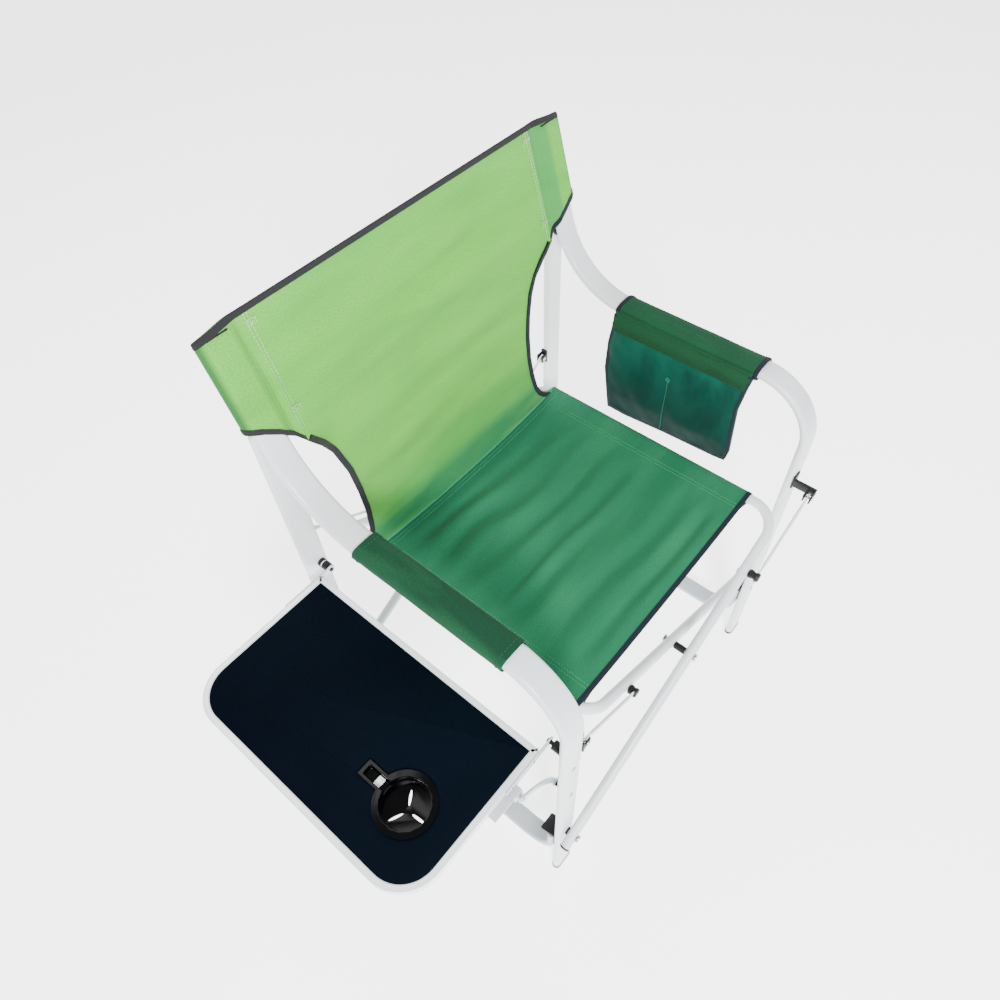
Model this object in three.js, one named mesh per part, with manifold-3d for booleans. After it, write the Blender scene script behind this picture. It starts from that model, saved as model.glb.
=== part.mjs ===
// Folding director chair with a side table, a cup holder and an arm pocket.
// Millimetres, +Z up, the chair faces -Y. "right" and "left" are the sitter's own sides: right is -X.
import * as THREE from 'three';
import { mergeVertices } from 'three/addons/utils/BufferGeometryUtils.js';
import Module from 'manifold-3d';

const wasm = await Module();
wasm.setup();

// ---- driving dimensions ----
const SIDE_X = 291;              // middle of each side frame, out from the centre plane
const LEG_Y = 241;               // front and rear legs stand this far in front of and behind the middle
const TUBE_WIDTH = 38;           // flat-oval side tubes, measured along X
const TUBE_THICK = 13;           // and across
const ARM_Z = 665;               // centre line of the armrest
const FRONT_BEND = 95;           // bend radius from armrest to front leg
const REAR_BEND = 138;           // bend radius from back upright to armrest
const UPRIGHT_TOP = [259, 905];  // y, z of the upper end of the back upright
const UPRIGHT_FOOT_Y = 190;      // where the upright's line meets the armrest's line
const FOOT_GAP = 6;              // the tubes stop this far above the floor, on their plugs
const REAR_LEG_TOP = 772;
const SLEEVE_REAR = 74;          // ends of the armrest sleeves
const SLEEVE_FRONT = -132;

const PIVOT_Z = 190;             // lower pivots of the seat frames
const CROSS_Z = 348;             // pivot where the seat frames cross
const RAIL_X = 226;              // seat rails
const FRAME_TUBE = 16;           // diameter of the seat frame tube
const FRAME_BEND = 42;
const FRAME_TAIL = 22;           // the tube runs on this far past its lower pivot
const OUTER_Y = 258.5;           // plane of the seat frame leg that passes outside a side leg
const INNER_Y = 223.5;           // plane of the one that passes inside

const BOLT_R = 3;
const BORE_R = 3.3;
const GAP = 0.3;                 // clearance between touching pieces

const RAIL_LOW = 48;             // lower side rail: height of its level run
const RAIL_END = 150;            // and of its ends
const RAIL_Y = 226;
const CONNECTOR_RISE = 14;       // height of the wedge that ties a lower rail to its leg

const STAY_X = 262;              // upper pivot of each stay
const STAY_Z = 497;
const STAY_REACH = 156;          // from the crossing pivot to the stay's lower end, along the frame tube
const STAY_ROD = 5;
const STAY_OUTER_Y = 280;        // plane of the stays that reach an outer frame leg

const TABLE_HINGE = [-285, 479]; // x, z
const TABLE_IN = -304;
const TABLE_OUT = -548;
const TABLE_FRONT = -203;
const TABLE_REAR = 211;
const TABLE_TOP = 486;
const RIM_WIDTH = 8;
const RIM_HEIGHT = 15;
const BOARD_THICK = 9;
const CORNER_R = 58;
const CUP = { x: -460, y: -118, rim: 42, wall: 35, depth: 32, skin: 2.5, notchEnd: 74, notchHalf: 13 };

const BRACE_KNEE = [-358, 458];
const BRACE_FOOT = [-287, 352];
const BRACE_Y = -218.5;

const SEAT_FRONT = -204;
const CREASE_Y = 186;
const SEAT_HALF = 237;
const CLOTH = 2.4;

// ---- materials ----
const paint = (color, roughness, metalness) => new THREE.MeshStandardMaterial({ color, roughness, metalness });
const whiteTube = paint(0xf1f3f4, 0.38, 0.1);
const blackPlastic = paint(0x141414, 0.5, 0);
const boltSteel = paint(0x9a9d9f, 0.35, 0.9);
const seatGreen = paint(0x3f8f66, 0.85, 0);
const backGreen = paint(0x8fc27c, 0.85, 0);
const armGreen = paint(0x3a7f5b, 0.85, 0);
const pocketTeal = paint(0x1f5f56, 0.6, 0);
const bindingNavy = paint(0x27384a, 0.8, 0);
const boardBlack = paint(0x101a26, 0.6, 0);
const edgeSilver = paint(0xe4e7ea, 0.3, 0.6);
const cupBlack = paint(0x0b0b0c, 0.25, 0);

const chair = new THREE.Group();
function add(name, geometry, material) {
  const mesh = new THREE.Mesh(geometry, material);
  mesh.name = name;
  chair.add(mesh);
  return mesh;
}

// ---- solids, joined and cut ----
function toSolid(geometry) {
  const bare = geometry.clone();
  bare.deleteAttribute('normal');
  bare.deleteAttribute('uv');
  const merged = mergeVertices(bare, 1e-4);
  const vertProperties = new Float32Array(merged.attributes.position.array);
  const triVerts = new Uint32Array(merged.index.array);
  return new wasm.Manifold(new wasm.Mesh({ numProp: 3, vertProperties, triVerts }));
}

function toGeometry(solid) {
  const mesh = solid.getMesh();
  const geometry = new THREE.BufferGeometry();
  geometry.setAttribute('position', new THREE.BufferAttribute(new Float32Array(mesh.vertProperties), 3));
  geometry.setIndex(new THREE.BufferAttribute(new Uint32Array(mesh.triVerts), 1));
  return geometry;
}

function join(...geometries) {
  return toGeometry(geometries.map(toSolid).reduce((whole, next) => whole.add(next)));
}

function cut(geometry, ...tools) {
  return toGeometry(tools.map(toSolid).reduce((whole, tool) => whole.subtract(tool), toSolid(geometry)));
}

// ---- basic shapes ----
// A path of straight runs joined by true arcs. Each corner is { at: Vector3, radius }.
class BentPath extends THREE.Curve {
  constructor(corners) {
    super();
    this.pieces = [];
    let from = corners[0].at;
    for (let i = 1; i < corners.length - 1; i++) from = this.addCorner(from, corners, i);
    this.addRun(from, corners[corners.length - 1].at);
    this.total = this.pieces.reduce((sum, piece) => sum + piece.length, 0);
  }

  addRun(from, to) {
    const along = to.clone().sub(from);
    const length = along.length();
    along.normalize();
    this.pieces.push({ length, point: (s) => from.clone().addScaledVector(along, s) });
  }

  addCorner(from, corners, i) {
    const { at, radius } = corners[i];
    const into = at.clone().sub(corners[i - 1].at).normalize();
    const out = corners[i + 1].at.clone().sub(at).normalize();
    const turn = into.angleTo(out);
    const inward = out.clone().addScaledVector(into, -into.dot(out)).normalize();
    const start = at.clone().addScaledVector(into, -radius * Math.tan(turn / 2));
    this.addRun(from, start);
    const point = (s) => start.clone()
      .addScaledVector(into, radius * Math.sin(s / radius))
      .addScaledVector(inward, radius * (1 - Math.cos(s / radius)));
    this.pieces.push({ length: radius * turn, point });
    return point(radius * turn);
  }

  getPoint(t) {
    let s = t * this.total;
    for (const piece of this.pieces) {
      if (s <= piece.length) return piece.point(s);
      s -= piece.length;
    }
    const last = this.pieces[this.pieces.length - 1];
    return last.point(last.length);
  }
}

function ovalOutline(width, thick, arcSteps = 4) {
  const points = [];
  for (const side of [1, -1]) {
    for (let i = 0; i <= arcSteps; i++) {
      const angle = (i / arcSteps - 0.5) * Math.PI;
      const x = side * ((width - thick) / 2 + (thick / 2) * Math.cos(angle));
      points.push(new THREE.Vector2(x, side * (thick / 2) * Math.sin(angle)));
    }
  }
  return points;
}

function roundOutline(radius, sides) {
  const corner = (i) => new THREE.Vector2(radius, 0).rotateAround(new THREE.Vector2(), (i / sides) * 2 * Math.PI);
  return Array.from({ length: sides }, (_, i) => corner(i));
}

function sweep(outline, corners, steps, holeOutline) {
  const shape = new THREE.Shape(outline);
  if (holeOutline) shape.holes.push(new THREE.Path(holeOutline));
  const path = new BentPath(corners);
  return new THREE.ExtrudeGeometry(shape, { steps, extrudePath: path, bevelEnabled: false });
}

// A sweep that starts exactly along an axis may turn its outline on its side, so it leans by this much.
const LEAN = 0.02;
const corner = (x, y, z, radius = 0) => ({ at: new THREE.Vector3(x, y, z), radius });

// An outline in X and Z, given thickness along Y from y0 to y1.
function slabXZ(points, y0, y1, holes = []) {
  const shape = new THREE.Shape(points.map(([x, z]) => new THREE.Vector2(x, z)));
  for (const hole of holes) shape.holes.push(new THREE.Path(hole));
  const geometry = new THREE.ExtrudeGeometry(shape, { depth: y1 - y0, bevelEnabled: false });
  return geometry.rotateX(Math.PI / 2).translate(0, y1, 0);
}

function box(x0, x1, y0, y1, z0, z1) {
  const geometry = new THREE.BoxGeometry(Math.abs(x1 - x0), Math.abs(y1 - y0), Math.abs(z1 - z0));
  return geometry.translate((x0 + x1) / 2, (y0 + y1) / 2, (z0 + z1) / 2);
}

// A turned piece on an axis along +Y at (x, z). The profile is [radius, y] pairs.
function turnedY(x, z, profile, sides = 10) {
  const closed = [[0, profile[0][1]], ...profile, [0, profile[profile.length - 1][1]]];
  const points = closed.map(([radius, y]) => new THREE.Vector2(radius, y));
  return new THREE.LatheGeometry(points, sides).translate(x, 0, z);
}

const rodY = (x, z, radius, y0, y1, sides = 12) => turnedY(x, z, [[radius, y0], [radius, y1]], sides);

// ---- side frames ----
const upright = { from: UPRIGHT_TOP, foot: [UPRIGHT_FOOT_Y, ARM_Z] };
const uprightSlope = (upright.from[0] - upright.foot[0]) / (upright.from[1] - upright.foot[1]);
const uprightY = (z) => upright.foot[0] + (z - ARM_Z) * uprightSlope;

function armTube(side) {
  const x = side * SIDE_X;
  const tube = sweep(ovalOutline(TUBE_WIDTH, TUBE_THICK), [
    corner(x, UPRIGHT_TOP[0], UPRIGHT_TOP[1]),
    corner(x, UPRIGHT_FOOT_Y, ARM_Z, REAR_BEND),
    corner(x, -LEG_Y, ARM_Z, FRONT_BEND),
    corner(x, -LEG_Y, FOOT_GAP),
  ], 44);
  return cut(tube, rodY(x, PIVOT_Z, BORE_R, -LEG_Y - 20, -LEG_Y + 20));
}

function rearLeg(side) {
  const x = side * SIDE_X;
  const shape = new THREE.Shape(ovalOutline(TUBE_WIDTH, TUBE_THICK));
  const tube = new THREE.ExtrudeGeometry(shape, { depth: REAR_LEG_TOP - FOOT_GAP, bevelEnabled: false });
  return cut(tube.translate(x, LEG_Y, FOOT_GAP), rodY(x, PIVOT_Z, BORE_R, LEG_Y - 20, LEG_Y + 20));
}

function lowerRail(side) {
  const x = side * SIDE_X;
  return sweep(ovalOutline(TUBE_WIDTH - 4, TUBE_THICK - 1), [
    corner(x, -RAIL_Y - LEAN, RAIL_END),
    corner(x, -RAIL_Y, RAIL_LOW, 62),
    corner(x, RAIL_Y, RAIL_LOW, 62),
    corner(x, RAIL_Y, RAIL_END),
  ], 26);
}

// A wedge between the end of the lower rail and its leg.
function railConnector(side, end) {
  const x = side * SIDE_X;
  const nearLeg = end * (LEG_Y - TUBE_THICK / 2 - GAP);
  const inward = end * (RAIL_Y - 20);
  const outline = [[nearLeg, RAIL_END + GAP], [nearLeg, RAIL_END + CONNECTOR_RISE], [inward, RAIL_END + GAP]];
  const shape = new THREE.Shape(outline.map(([y, z]) => new THREE.Vector2(y, z)));
  const half = TUBE_WIDTH / 2 - 4;
  const wedge = new THREE.ExtrudeGeometry(shape, { depth: 2 * half, bevelEnabled: false });
  wedge.applyMatrix4(new THREE.Matrix4().makeBasis(
    new THREE.Vector3(0, 1, 0), new THREE.Vector3(0, 0, 1), new THREE.Vector3(1, 0, 0)));
  return wedge.translate(x - half, 0, 0);
}

function footPlug(side, end) {
  const shape = new THREE.Shape(ovalOutline(TUBE_WIDTH + 2, TUBE_THICK + 2));
  const plug = new THREE.ExtrudeGeometry(shape, { depth: FOOT_GAP - GAP, bevelEnabled: false });
  return plug.translate(side * SIDE_X, end * LEG_Y, 0);
}

function uprightPlug(side) {
  const shape = new THREE.Shape(ovalOutline(TUBE_WIDTH, TUBE_THICK));
  const plug = new THREE.ExtrudeGeometry(shape, { depth: 5, bevelEnabled: false });
  plug.translate(0, 0, GAP);
  plug.rotateX(-Math.atan(uprightSlope));
  return plug.translate(side * SIDE_X, UPRIGHT_TOP[0], UPRIGHT_TOP[1]);
}

// A spacer and its rivet, which hold the top of the rear leg to the back upright.
function legJoint(side) {
  const z = REAR_LEG_TOP - 24;
  const front = uprightY(z) + TUBE_THICK / 2 + 3.5;
  const rear = LEG_Y - TUBE_THICK / 2 - GAP;
  return rodY(side * SIDE_X, z, 9, front, rear, 20);
}

function sleeveOutline(inner) {
  const half = TUBE_WIDTH / 2 + 2.6;
  const points = ovalOutline(2 * half, TUBE_THICK + 5.2);
  return inner ? points.map((p) => new THREE.Vector2(p.x > half - 9 ? p.x + 15 * (p.x - half + 9) / 9 : p.x, p.y)) : points;
}

const tubeHole = () => ovalOutline(TUBE_WIDTH + 2 * GAP, TUBE_THICK + 2 * GAP).reverse();

function armSleeve(side) {
  const x = side * SIDE_X;
  return sweep(sleeveOutline(false), [corner(x, SLEEVE_REAR, ARM_Z + LEAN), corner(x, SLEEVE_FRONT, ARM_Z)], 6, tubeHole());
}

// The cloth sleeve sewn round the back upright, with the seam allowance on its inner side.
function backSleeve(side) {
  const x = side * SIDE_X;
  const low = 781;
  const high = UPRIGHT_TOP[1] - 3;
  // The swept outline's x runs along -X, so the allowance is mirrored on one side.
  const mirror = (points) => (side < 0 ? points.map((p) => new THREE.Vector2(-p.x, p.y)).reverse() : points);
  const outline = mirror(sleeveOutline(true));
  const ends = [corner(x, uprightY(high), high), corner(x, uprightY(low), low)];
  return sweep(outline, ends, 4, tubeHole());
}

// ---- seat frames: a front leg, a seat rail and a rear leg in one bent tube ----
const legSlope = (CROSS_Z - PIVOT_Z) / SIDE_X;
const legRun = Math.hypot(SIDE_X, CROSS_Z - PIVOT_Z);
const legDir = [SIDE_X / legRun, (CROSS_Z - PIVOT_Z) / legRun];
const RAIL_Z = CROSS_Z + RAIL_X * legSlope;

// Frame A has its seat rail on the left (side 1), frame B on the right (side -1).
function seatFrame(side) {
  const frontY = side > 0 ? -OUTER_Y : -INNER_Y;
  const rearY = side > 0 ? INNER_Y : OUTER_Y;
  const tailX = -side * (SIDE_X + FRAME_TAIL * legDir[0]);
  const tailZ = PIVOT_Z - FRAME_TAIL * legDir[1];
  const tube = sweep(roundOutline(FRAME_TUBE / 2, 10), [
    corner(tailX, frontY, tailZ),
    corner(side * RAIL_X, frontY, RAIL_Z, FRAME_BEND),
    corner(side * RAIL_X, rearY, RAIL_Z, FRAME_BEND),
    corner(tailX, rearY, tailZ),
  ], 44);
  const bores = [frontY, rearY].flatMap((y) => [
    rodY(-side * SIDE_X, PIVOT_Z, BORE_R, y - 15, y + 15),
    rodY(0, CROSS_Z, BORE_R, y - 15, y + 15),
  ]);
  return cut(tube, ...bores);
}

// Lower pivot: a bolt through a side leg and a frame tube, with a spacer between them.
function pivotBolt(side, end) {
  const outside = side * end > 0;   // the frame passes outside this leg
  const tubeY = outside ? OUTER_Y : INNER_Y;
  const step = FRAME_TUBE / 2 + GAP;
  const legHalf = TUBE_THICK / 2 + GAP;
  const far = outside ? tubeY + step : tubeY - step;
  const nearTube = outside ? tubeY - step : tubeY + step;
  const nearLeg = outside ? LEG_Y + legHalf : LEG_Y - legHalf;
  const back = outside ? LEG_Y - legHalf : LEG_Y + legHalf;
  const way = outside ? 1 : -1;
  const profile = [
    [6, far + way * 3.5], [6, far], [BOLT_R, far], [BOLT_R, nearTube], [8, nearTube],
    [8, nearLeg], [BOLT_R, nearLeg], [BOLT_R, back], [6, back], [6, back - way * 3.5],
  ];
  return turnedY(side * SIDE_X, PIVOT_Z, orderSteps(profile, end));
}

// A stepped profile read in the +Y direction.
function orderSteps(profile, end) {
  const placed = profile.map(([radius, y]) => [radius, end * y]);
  return placed[0][1] < placed[placed.length - 1][1] ? placed : placed.reverse();
}

// Crossing pivot: both frame tubes, and the spacer between them.
function crossBolt(end) {
  const step = FRAME_TUBE / 2 + GAP;
  return turnedY(0, CROSS_Z, orderSteps([
    [6, OUTER_Y + step + 3.5], [6, OUTER_Y + step], [BOLT_R, OUTER_Y + step], [BOLT_R, OUTER_Y - step],
    [8, OUTER_Y - step], [8, INNER_Y + step], [BOLT_R, INNER_Y + step], [BOLT_R, INNER_Y - step],
    [6, INNER_Y - step], [6, INNER_Y - step - 3.5],
  ], end));
}

// ---- stays: rods from a bracket on each leg to the seat frame tubes ----
const stayEnd = [STAY_REACH * legDir[0], CROSS_Z + STAY_REACH * legDir[1]];

// The front left and rear right stays reach an outer frame leg, so they run outside it.
const reachesOuter = (side, end) => side * end < 0;
const stayPlane = (side, end) => end * (reachesOuter(side, end) ? STAY_OUTER_Y : LEG_Y);

function fork(y, inner) {
  const cheeks = [-1, 1].map((way) => box(
    STAY_X - 6, inner, y + way * 5 - 1.2, y + way * 5 + 1.2, STAY_Z - 7, STAY_Z + 7));
  return join(...cheeks, rodY(STAY_X, STAY_Z, 2, y - 6, y + 6, 8));
}

function stayBracket(side, end) {
  const y = stayPlane(side, end);
  const inner = SIDE_X - TUBE_WIDTH / 2 - GAP;
  const face = end * (LEG_Y + TUBE_THICK / 2 + GAP);
  const [low, high] = [face, y + end * 6.2].sort((a, b) => a - b);
  const inside = box(inner - 3, inner, y - 6.2, y + 6.2, STAY_Z - 13, STAY_Z + 13);
  const outside = join(
    box(STAY_X + 11, STAY_X + 17, low, high, STAY_Z - 7, STAY_Z + 7),
    box(STAY_X + 11, SIDE_X, face, face + end * 2.5, STAY_Z - 13, STAY_Z + 13));
  const outer = reachesOuter(side, end);
  const bracket = join(fork(y, outer ? STAY_X + 12 : inner - 2), outer ? outside : inside);
  return side > 0 ? bracket : mirrorX(bracket);
}

function mirrorX(geometry) {
  const turned = geometry.clone().scale(-1, 1, 1);
  const index = turned.index.array;
  for (let i = 0; i < index.length; i += 3) [index[i], index[i + 1]] = [index[i + 1], index[i]];
  return turned;
}

function stay(side, end) {
  const y = stayPlane(side, end);
  const from = new THREE.Vector2(STAY_X, STAY_Z);
  const to = new THREE.Vector2(stayEnd[0], stayEnd[1]);
  const along = to.clone().sub(from).normalize();
  const start = from.clone().addScaledVector(along, 4.5);
  const stop = to.clone().addScaledVector(along, -9 - GAP);
  const rod = sweep(roundOutline(STAY_ROD / 2, 8), [corner(start.x, y, start.y), corner(stop.x, y, stop.y)], 4);
  const eye = rodY(STAY_X, STAY_Z, 6, y - 2.8, y + 2.8);
  const whole = cut(join(rod, eye), rodY(STAY_X, STAY_Z, 2.4, y - 5, y + 5, 8));
  return side > 0 ? whole : mirrorX(whole);
}

function stayKnob(side, end) {
  const outer = reachesOuter(side, end);
  const tubeFace = outer ? OUTER_Y + FRAME_TUBE / 2 + GAP : INNER_Y + FRAME_TUBE / 2 + GAP;
  const [low, high] = [end * tubeFace, stayPlane(side, end) + end * 4.5].sort((a, b) => a - b);
  return rodY(side * stayEnd[0], stayEnd[1], 9, low, high, 14);
}

// ---- side table ----
// The table's outline, drawn inwards by an inset. The outer corners are round, the inner ones square.
function tableOutline(inset, arcSteps = 8) {
  const [inX, outX] = [TABLE_IN - inset, TABLE_OUT + inset];
  const [front, rear] = [TABLE_FRONT + inset, TABLE_REAR - inset];
  const radius = CORNER_R - inset;
  const points = [new THREE.Vector2(inX, front), new THREE.Vector2(inX, rear)];
  const arc = (cx, cy, from) => {
    for (let i = 0; i <= arcSteps; i++) {
      const angle = from + (i / arcSteps) * (Math.PI / 2);
      points.push(new THREE.Vector2(cx + radius * Math.cos(angle), cy + radius * Math.sin(angle)));
    }
  };
  arc(outX + radius, rear - radius, Math.PI / 2);
  arc(outX + radius, front + radius, Math.PI);
  return points;
}

function plateXY(outline, z0, z1, hole) {
  const shape = new THREE.Shape(outline);
  if (hole) shape.holes.push(new THREE.Path(hole));
  return new THREE.ExtrudeGeometry(shape, { depth: z1 - z0, bevelEnabled: false }).translate(0, 0, z0);
}

// The keyhole outline of the cup holder: a circle with a notch for a mug's handle, towards +Y.
function keyhole(radius, notchHalf, notchEnd, steps = 24) {
  const start = Math.asin(notchHalf / radius);
  const points = [new THREE.Vector2(CUP.x - notchHalf, CUP.y + notchEnd)];
  for (let i = 0; i <= steps; i++) {
    const angle = Math.PI / 2 + start + (i / steps) * (2 * Math.PI - 2 * start);
    points.push(new THREE.Vector2(CUP.x + radius * Math.cos(angle), CUP.y + radius * Math.sin(angle)));
  }
  points.push(new THREE.Vector2(CUP.x + notchHalf, CUP.y + notchEnd));
  return points;
}

function tableBoard() {
  const board = plateXY(tableOutline(RIM_WIDTH + GAP), TABLE_TOP - BOARD_THICK, TABLE_TOP - 1.5);
  const opening = plateXY(keyhole(CUP.wall + GAP, CUP.notchHalf - 3 + GAP, CUP.notchEnd - 4 + GAP), 400, 600);
  return cut(board, opening);
}

function tableRim() {
  return plateXY(tableOutline(0), TABLE_TOP - RIM_HEIGHT, TABLE_TOP, tableOutline(RIM_WIDTH).reverse());
}

function cupHolder() {
  const top = TABLE_TOP - 1.5 + GAP;
  const floor = TABLE_TOP - CUP.depth;
  const flange = plateXY(keyhole(CUP.rim, CUP.notchHalf, CUP.notchEnd), top, top + 3);
  const tub = plateXY(keyhole(CUP.wall, CUP.notchHalf - 3, CUP.notchEnd - 4), floor, top + 1);
  const notch = box(CUP.x - 40, CUP.x + 40, CUP.y + CUP.wall + 1, CUP.y + 100, floor - 1, top - 12);
  const inside = plateXY(keyhole(CUP.wall - CUP.skin, CUP.notchHalf - 3 - CUP.skin, CUP.notchEnd - 4 - CUP.skin),
    top - 10, top + 10);
  const well = plateXY(roundOutline(CUP.wall - CUP.skin, 28).map((p) => p.add(new THREE.Vector2(CUP.x, CUP.y))),
    floor + CUP.skin, top + 10);
  const slots = [35, 155, 275].map((degrees) => {
    const slot = plateXY(ovalOutline(20, 7), floor - 5, floor + 10);
    slot.translate(16, 0, 0).rotateZ(THREE.MathUtils.degToRad(degrees));
    return slot.translate(CUP.x, CUP.y, 0);
  });
  return cut(join(flange, cut(tub, notch)), inside, well, ...slots);
}

// A flat bracket screwed to the end of the rim, with an eye round the hinge bolt.
function tableBracket(end) {
  const [hx, hz] = TABLE_HINGE;
  const face = end < 0 ? TABLE_FRONT - GAP : TABLE_REAR + GAP;
  const [y0, y1] = end < 0 ? [face - 2.5, face] : [face, face + 2.5];
  const eye = rodY(hx, hz, 7, y0, y1, 20);
  const bar = box(-372, hx, y0, y1, hz - 6, hz + 6);
  return cut(join(eye, bar), rodY(hx, hz, BORE_R, y0 - 3, y1 + 3, 12));
}

function tableBolt(end) {
  const plate = end < 0 ? -TABLE_FRONT : TABLE_REAR;
  const leg = LEG_Y - TUBE_THICK / 2 - GAP;
  const [hx, hz] = TABLE_HINGE;
  const profile = [
    [7.5, leg], [7.5, leg - 5.5], [5, leg - 5.5], [5, leg - 8.5], [7.5, leg - 8.5], [7.5, plate + 2.5 + 2 * GAP],
    [BOLT_R, plate + 2.5 + 2 * GAP], [BOLT_R, plate - 2],
  ];
  return turnedY(hx, hz, orderSteps(profile, end));
}

function braceStrap() {
  const [kx, kz] = BRACE_KNEE;
  const [fx, fz] = BRACE_FOOT;
  const across = new THREE.Vector2(fx - kx, fz - kz).normalize();
  const side = new THREE.Vector2(-across.y, across.x);
  const length = Math.hypot(fx - kx, fz - kz);
  const bow = 12;
  const steps = 10;
  const edge = (offset) => Array.from({ length: steps + 1 }, (_, i) => {
    const t = i / steps;
    const out = offset + bow * 4 * t * (1 - t);
    return [kx + across.x * length * t + side.x * out, kz + across.y * length * t + side.y * out];
  });
  const strap = slabXZ([...edge(4.5), ...edge(-4.5).reverse()], BRACE_Y - 1.5, BRACE_Y + 1.5);
  const ends = [[kx, kz], [fx, fz]].map(([x, z]) => rodY(x, z, 6.5, BRACE_Y - 1.5, BRACE_Y + 1.5, 16));
  return cut(join(strap, ...ends), ...[[kx, kz], [fx, fz]].map(([x, z]) => rodY(x, z, BORE_R, -240, -200, 12)));
}

// The plate under the table's front edge that carries the brace, and the pin it turns on.
function bracePlate() {
  const [kx, kz] = BRACE_KNEE;
  const under = TABLE_TOP - RIM_HEIGHT - GAP;
  const flat = box(-404, kx + 6, TABLE_FRONT - 11, TABLE_FRONT + 14, under - 2.4, under);
  const tab = box(kx - 8, kx + 6, TABLE_FRONT - 11, TABLE_FRONT - 8.5, kz - 7, under);
  return join(flat, tab, rodY(kx, kz, BOLT_R, BRACE_Y - 4, TABLE_FRONT - 9, 12));
}

function bracePeg() {
  const [fx, fz] = BRACE_FOOT;
  const leg = -LEG_Y + TUBE_THICK / 2 + GAP;
  return turnedY(fx, fz, [[7, leg], [7, leg + 6], [4.5, leg + 6], [4.5, BRACE_Y - 1.5 - 2 * GAP]]);
}

// ---- cloth ----
// A thin curved panel. Each row is { half, y, z }: its half width and its place. Thickness is along the
// panel's own normal, which has no X part.
function clothPanel(rows, columns, thick) {
  const positions = [];
  const normalOf = (i) => {
    const a = rows[Math.max(i - 1, 0)];
    const b = rows[Math.min(i + 1, rows.length - 1)];
    return new THREE.Vector2(b.z - a.z, a.y - b.y).normalize();
  };
  for (const shift of [0, thick]) {
    rows.forEach((row, i) => {
      const n = normalOf(i);
      for (let c = 0; c <= columns; c++) {
        positions.push(row.half * (2 * c / columns - 1), row.y + n.x * shift, row.z + n.y * shift);
      }
    });
  }
  const wide = columns + 1;
  const layer = rows.length * wide;
  const index = [];
  const quad = (a, b, c, d) => index.push(a, b, c, a, c, d);
  for (let i = 0; i < rows.length - 1; i++) {
    for (let c = 0; c < columns; c++) {
      const a = i * wide + c;
      quad(a, a + 1, a + wide + 1, a + wide);
      quad(layer + a, layer + a + wide, layer + a + wide + 1, layer + a + 1);
    }
    const left = i * wide;
    const right = left + columns;
    quad(left, left + wide, layer + left + wide, layer + left);
    quad(right, layer + right, layer + right + wide, right + wide);
  }
  for (let c = 0; c < columns; c++) {
    const top = (rows.length - 1) * wide + c;
    quad(c, layer + c, layer + c + 1, c + 1);
    quad(top, top + 1, layer + top + 1, layer + top);
  }
  const geometry = new THREE.BufferGeometry();
  geometry.setAttribute('position', new THREE.Float32BufferAttribute(positions, 3));
  geometry.setIndex(index);
  return geometry;
}

const SEAT_TOP = RAIL_Z + FRAME_TUBE / 2 + GAP;
const BACK_HALF = 250;
const WAIST_HALF = 192;

function seatPanel() {
  const ys = [CREASE_Y, 90, -10, -110, SEAT_FRONT];
  const rows = ys.map((y) => ({ half: SEAT_HALF, y, z: SEAT_TOP }));
  return clothPanel(rows, 4, CLOTH);
}

// From the crease up to the top edge: flared at the seat, drawn in at the waist, full width above the cut-outs.
function backPanel() {
  const low = SEAT_TOP + CLOTH + 3;
  const lowerRows = Array.from({ length: 9 }, (_, i) => {
    const t = i / 8;
    const flare = t < 0.45 ? Math.cos((t / 0.45) * Math.PI / 2) : 0;
    const spread = t > 0.6 ? 1 - Math.sqrt(Math.max(1 - ((t - 0.6) / 0.4) ** 2, 0)) : 0;
    const half = WAIST_HALF + (SEAT_HALF - 6 - WAIST_HALF) * flare + (BACK_HALF - WAIST_HALF) * spread;
    const z = low + (772 - low) * t;
    return { half, y: CREASE_Y + 6 + (uprightY(772) - CREASE_Y - 6) * t, z };
  });
  const upperRows = [790, 850, UPRIGHT_TOP[1] + 8].map((z) => ({ half: BACK_HALF, y: uprightY(z), z }));
  return clothPanel([...lowerRows, ...upperRows], 4, CLOTH);
}

// ---- arm pocket: back panel, front panel and the bound edge between them ----
const POCKET = { x: 266.5, front: -140, rear: 104, top: 640, bottom: 466, depth: 8, skin: 1.6, edge: 7 };

function pocketPanel(x0) {
  return box(x0, x0 + POCKET.skin, POCKET.front, POCKET.rear, POCKET.bottom, POCKET.top);
}

function pocketBinding() {
  const x0 = POCKET.x - POCKET.depth + GAP;
  const x1 = POCKET.x - GAP;
  const sides = [POCKET.front, (POCKET.front + POCKET.rear) / 2 - POCKET.edge / 2, POCKET.rear - POCKET.edge]
    .map((y) => box(x0, x1, y, y + POCKET.edge, POCKET.bottom, POCKET.top - 26));
  const floor = box(x0, x1, POCKET.front, POCKET.rear, POCKET.bottom, POCKET.bottom + POCKET.edge);
  return join(floor, ...sides);
}

// ---- assembly ----
const ENDS = [['front', -1], ['rear', 1]];
const SIDES = [['right', -1], ['left', 1]];

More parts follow.
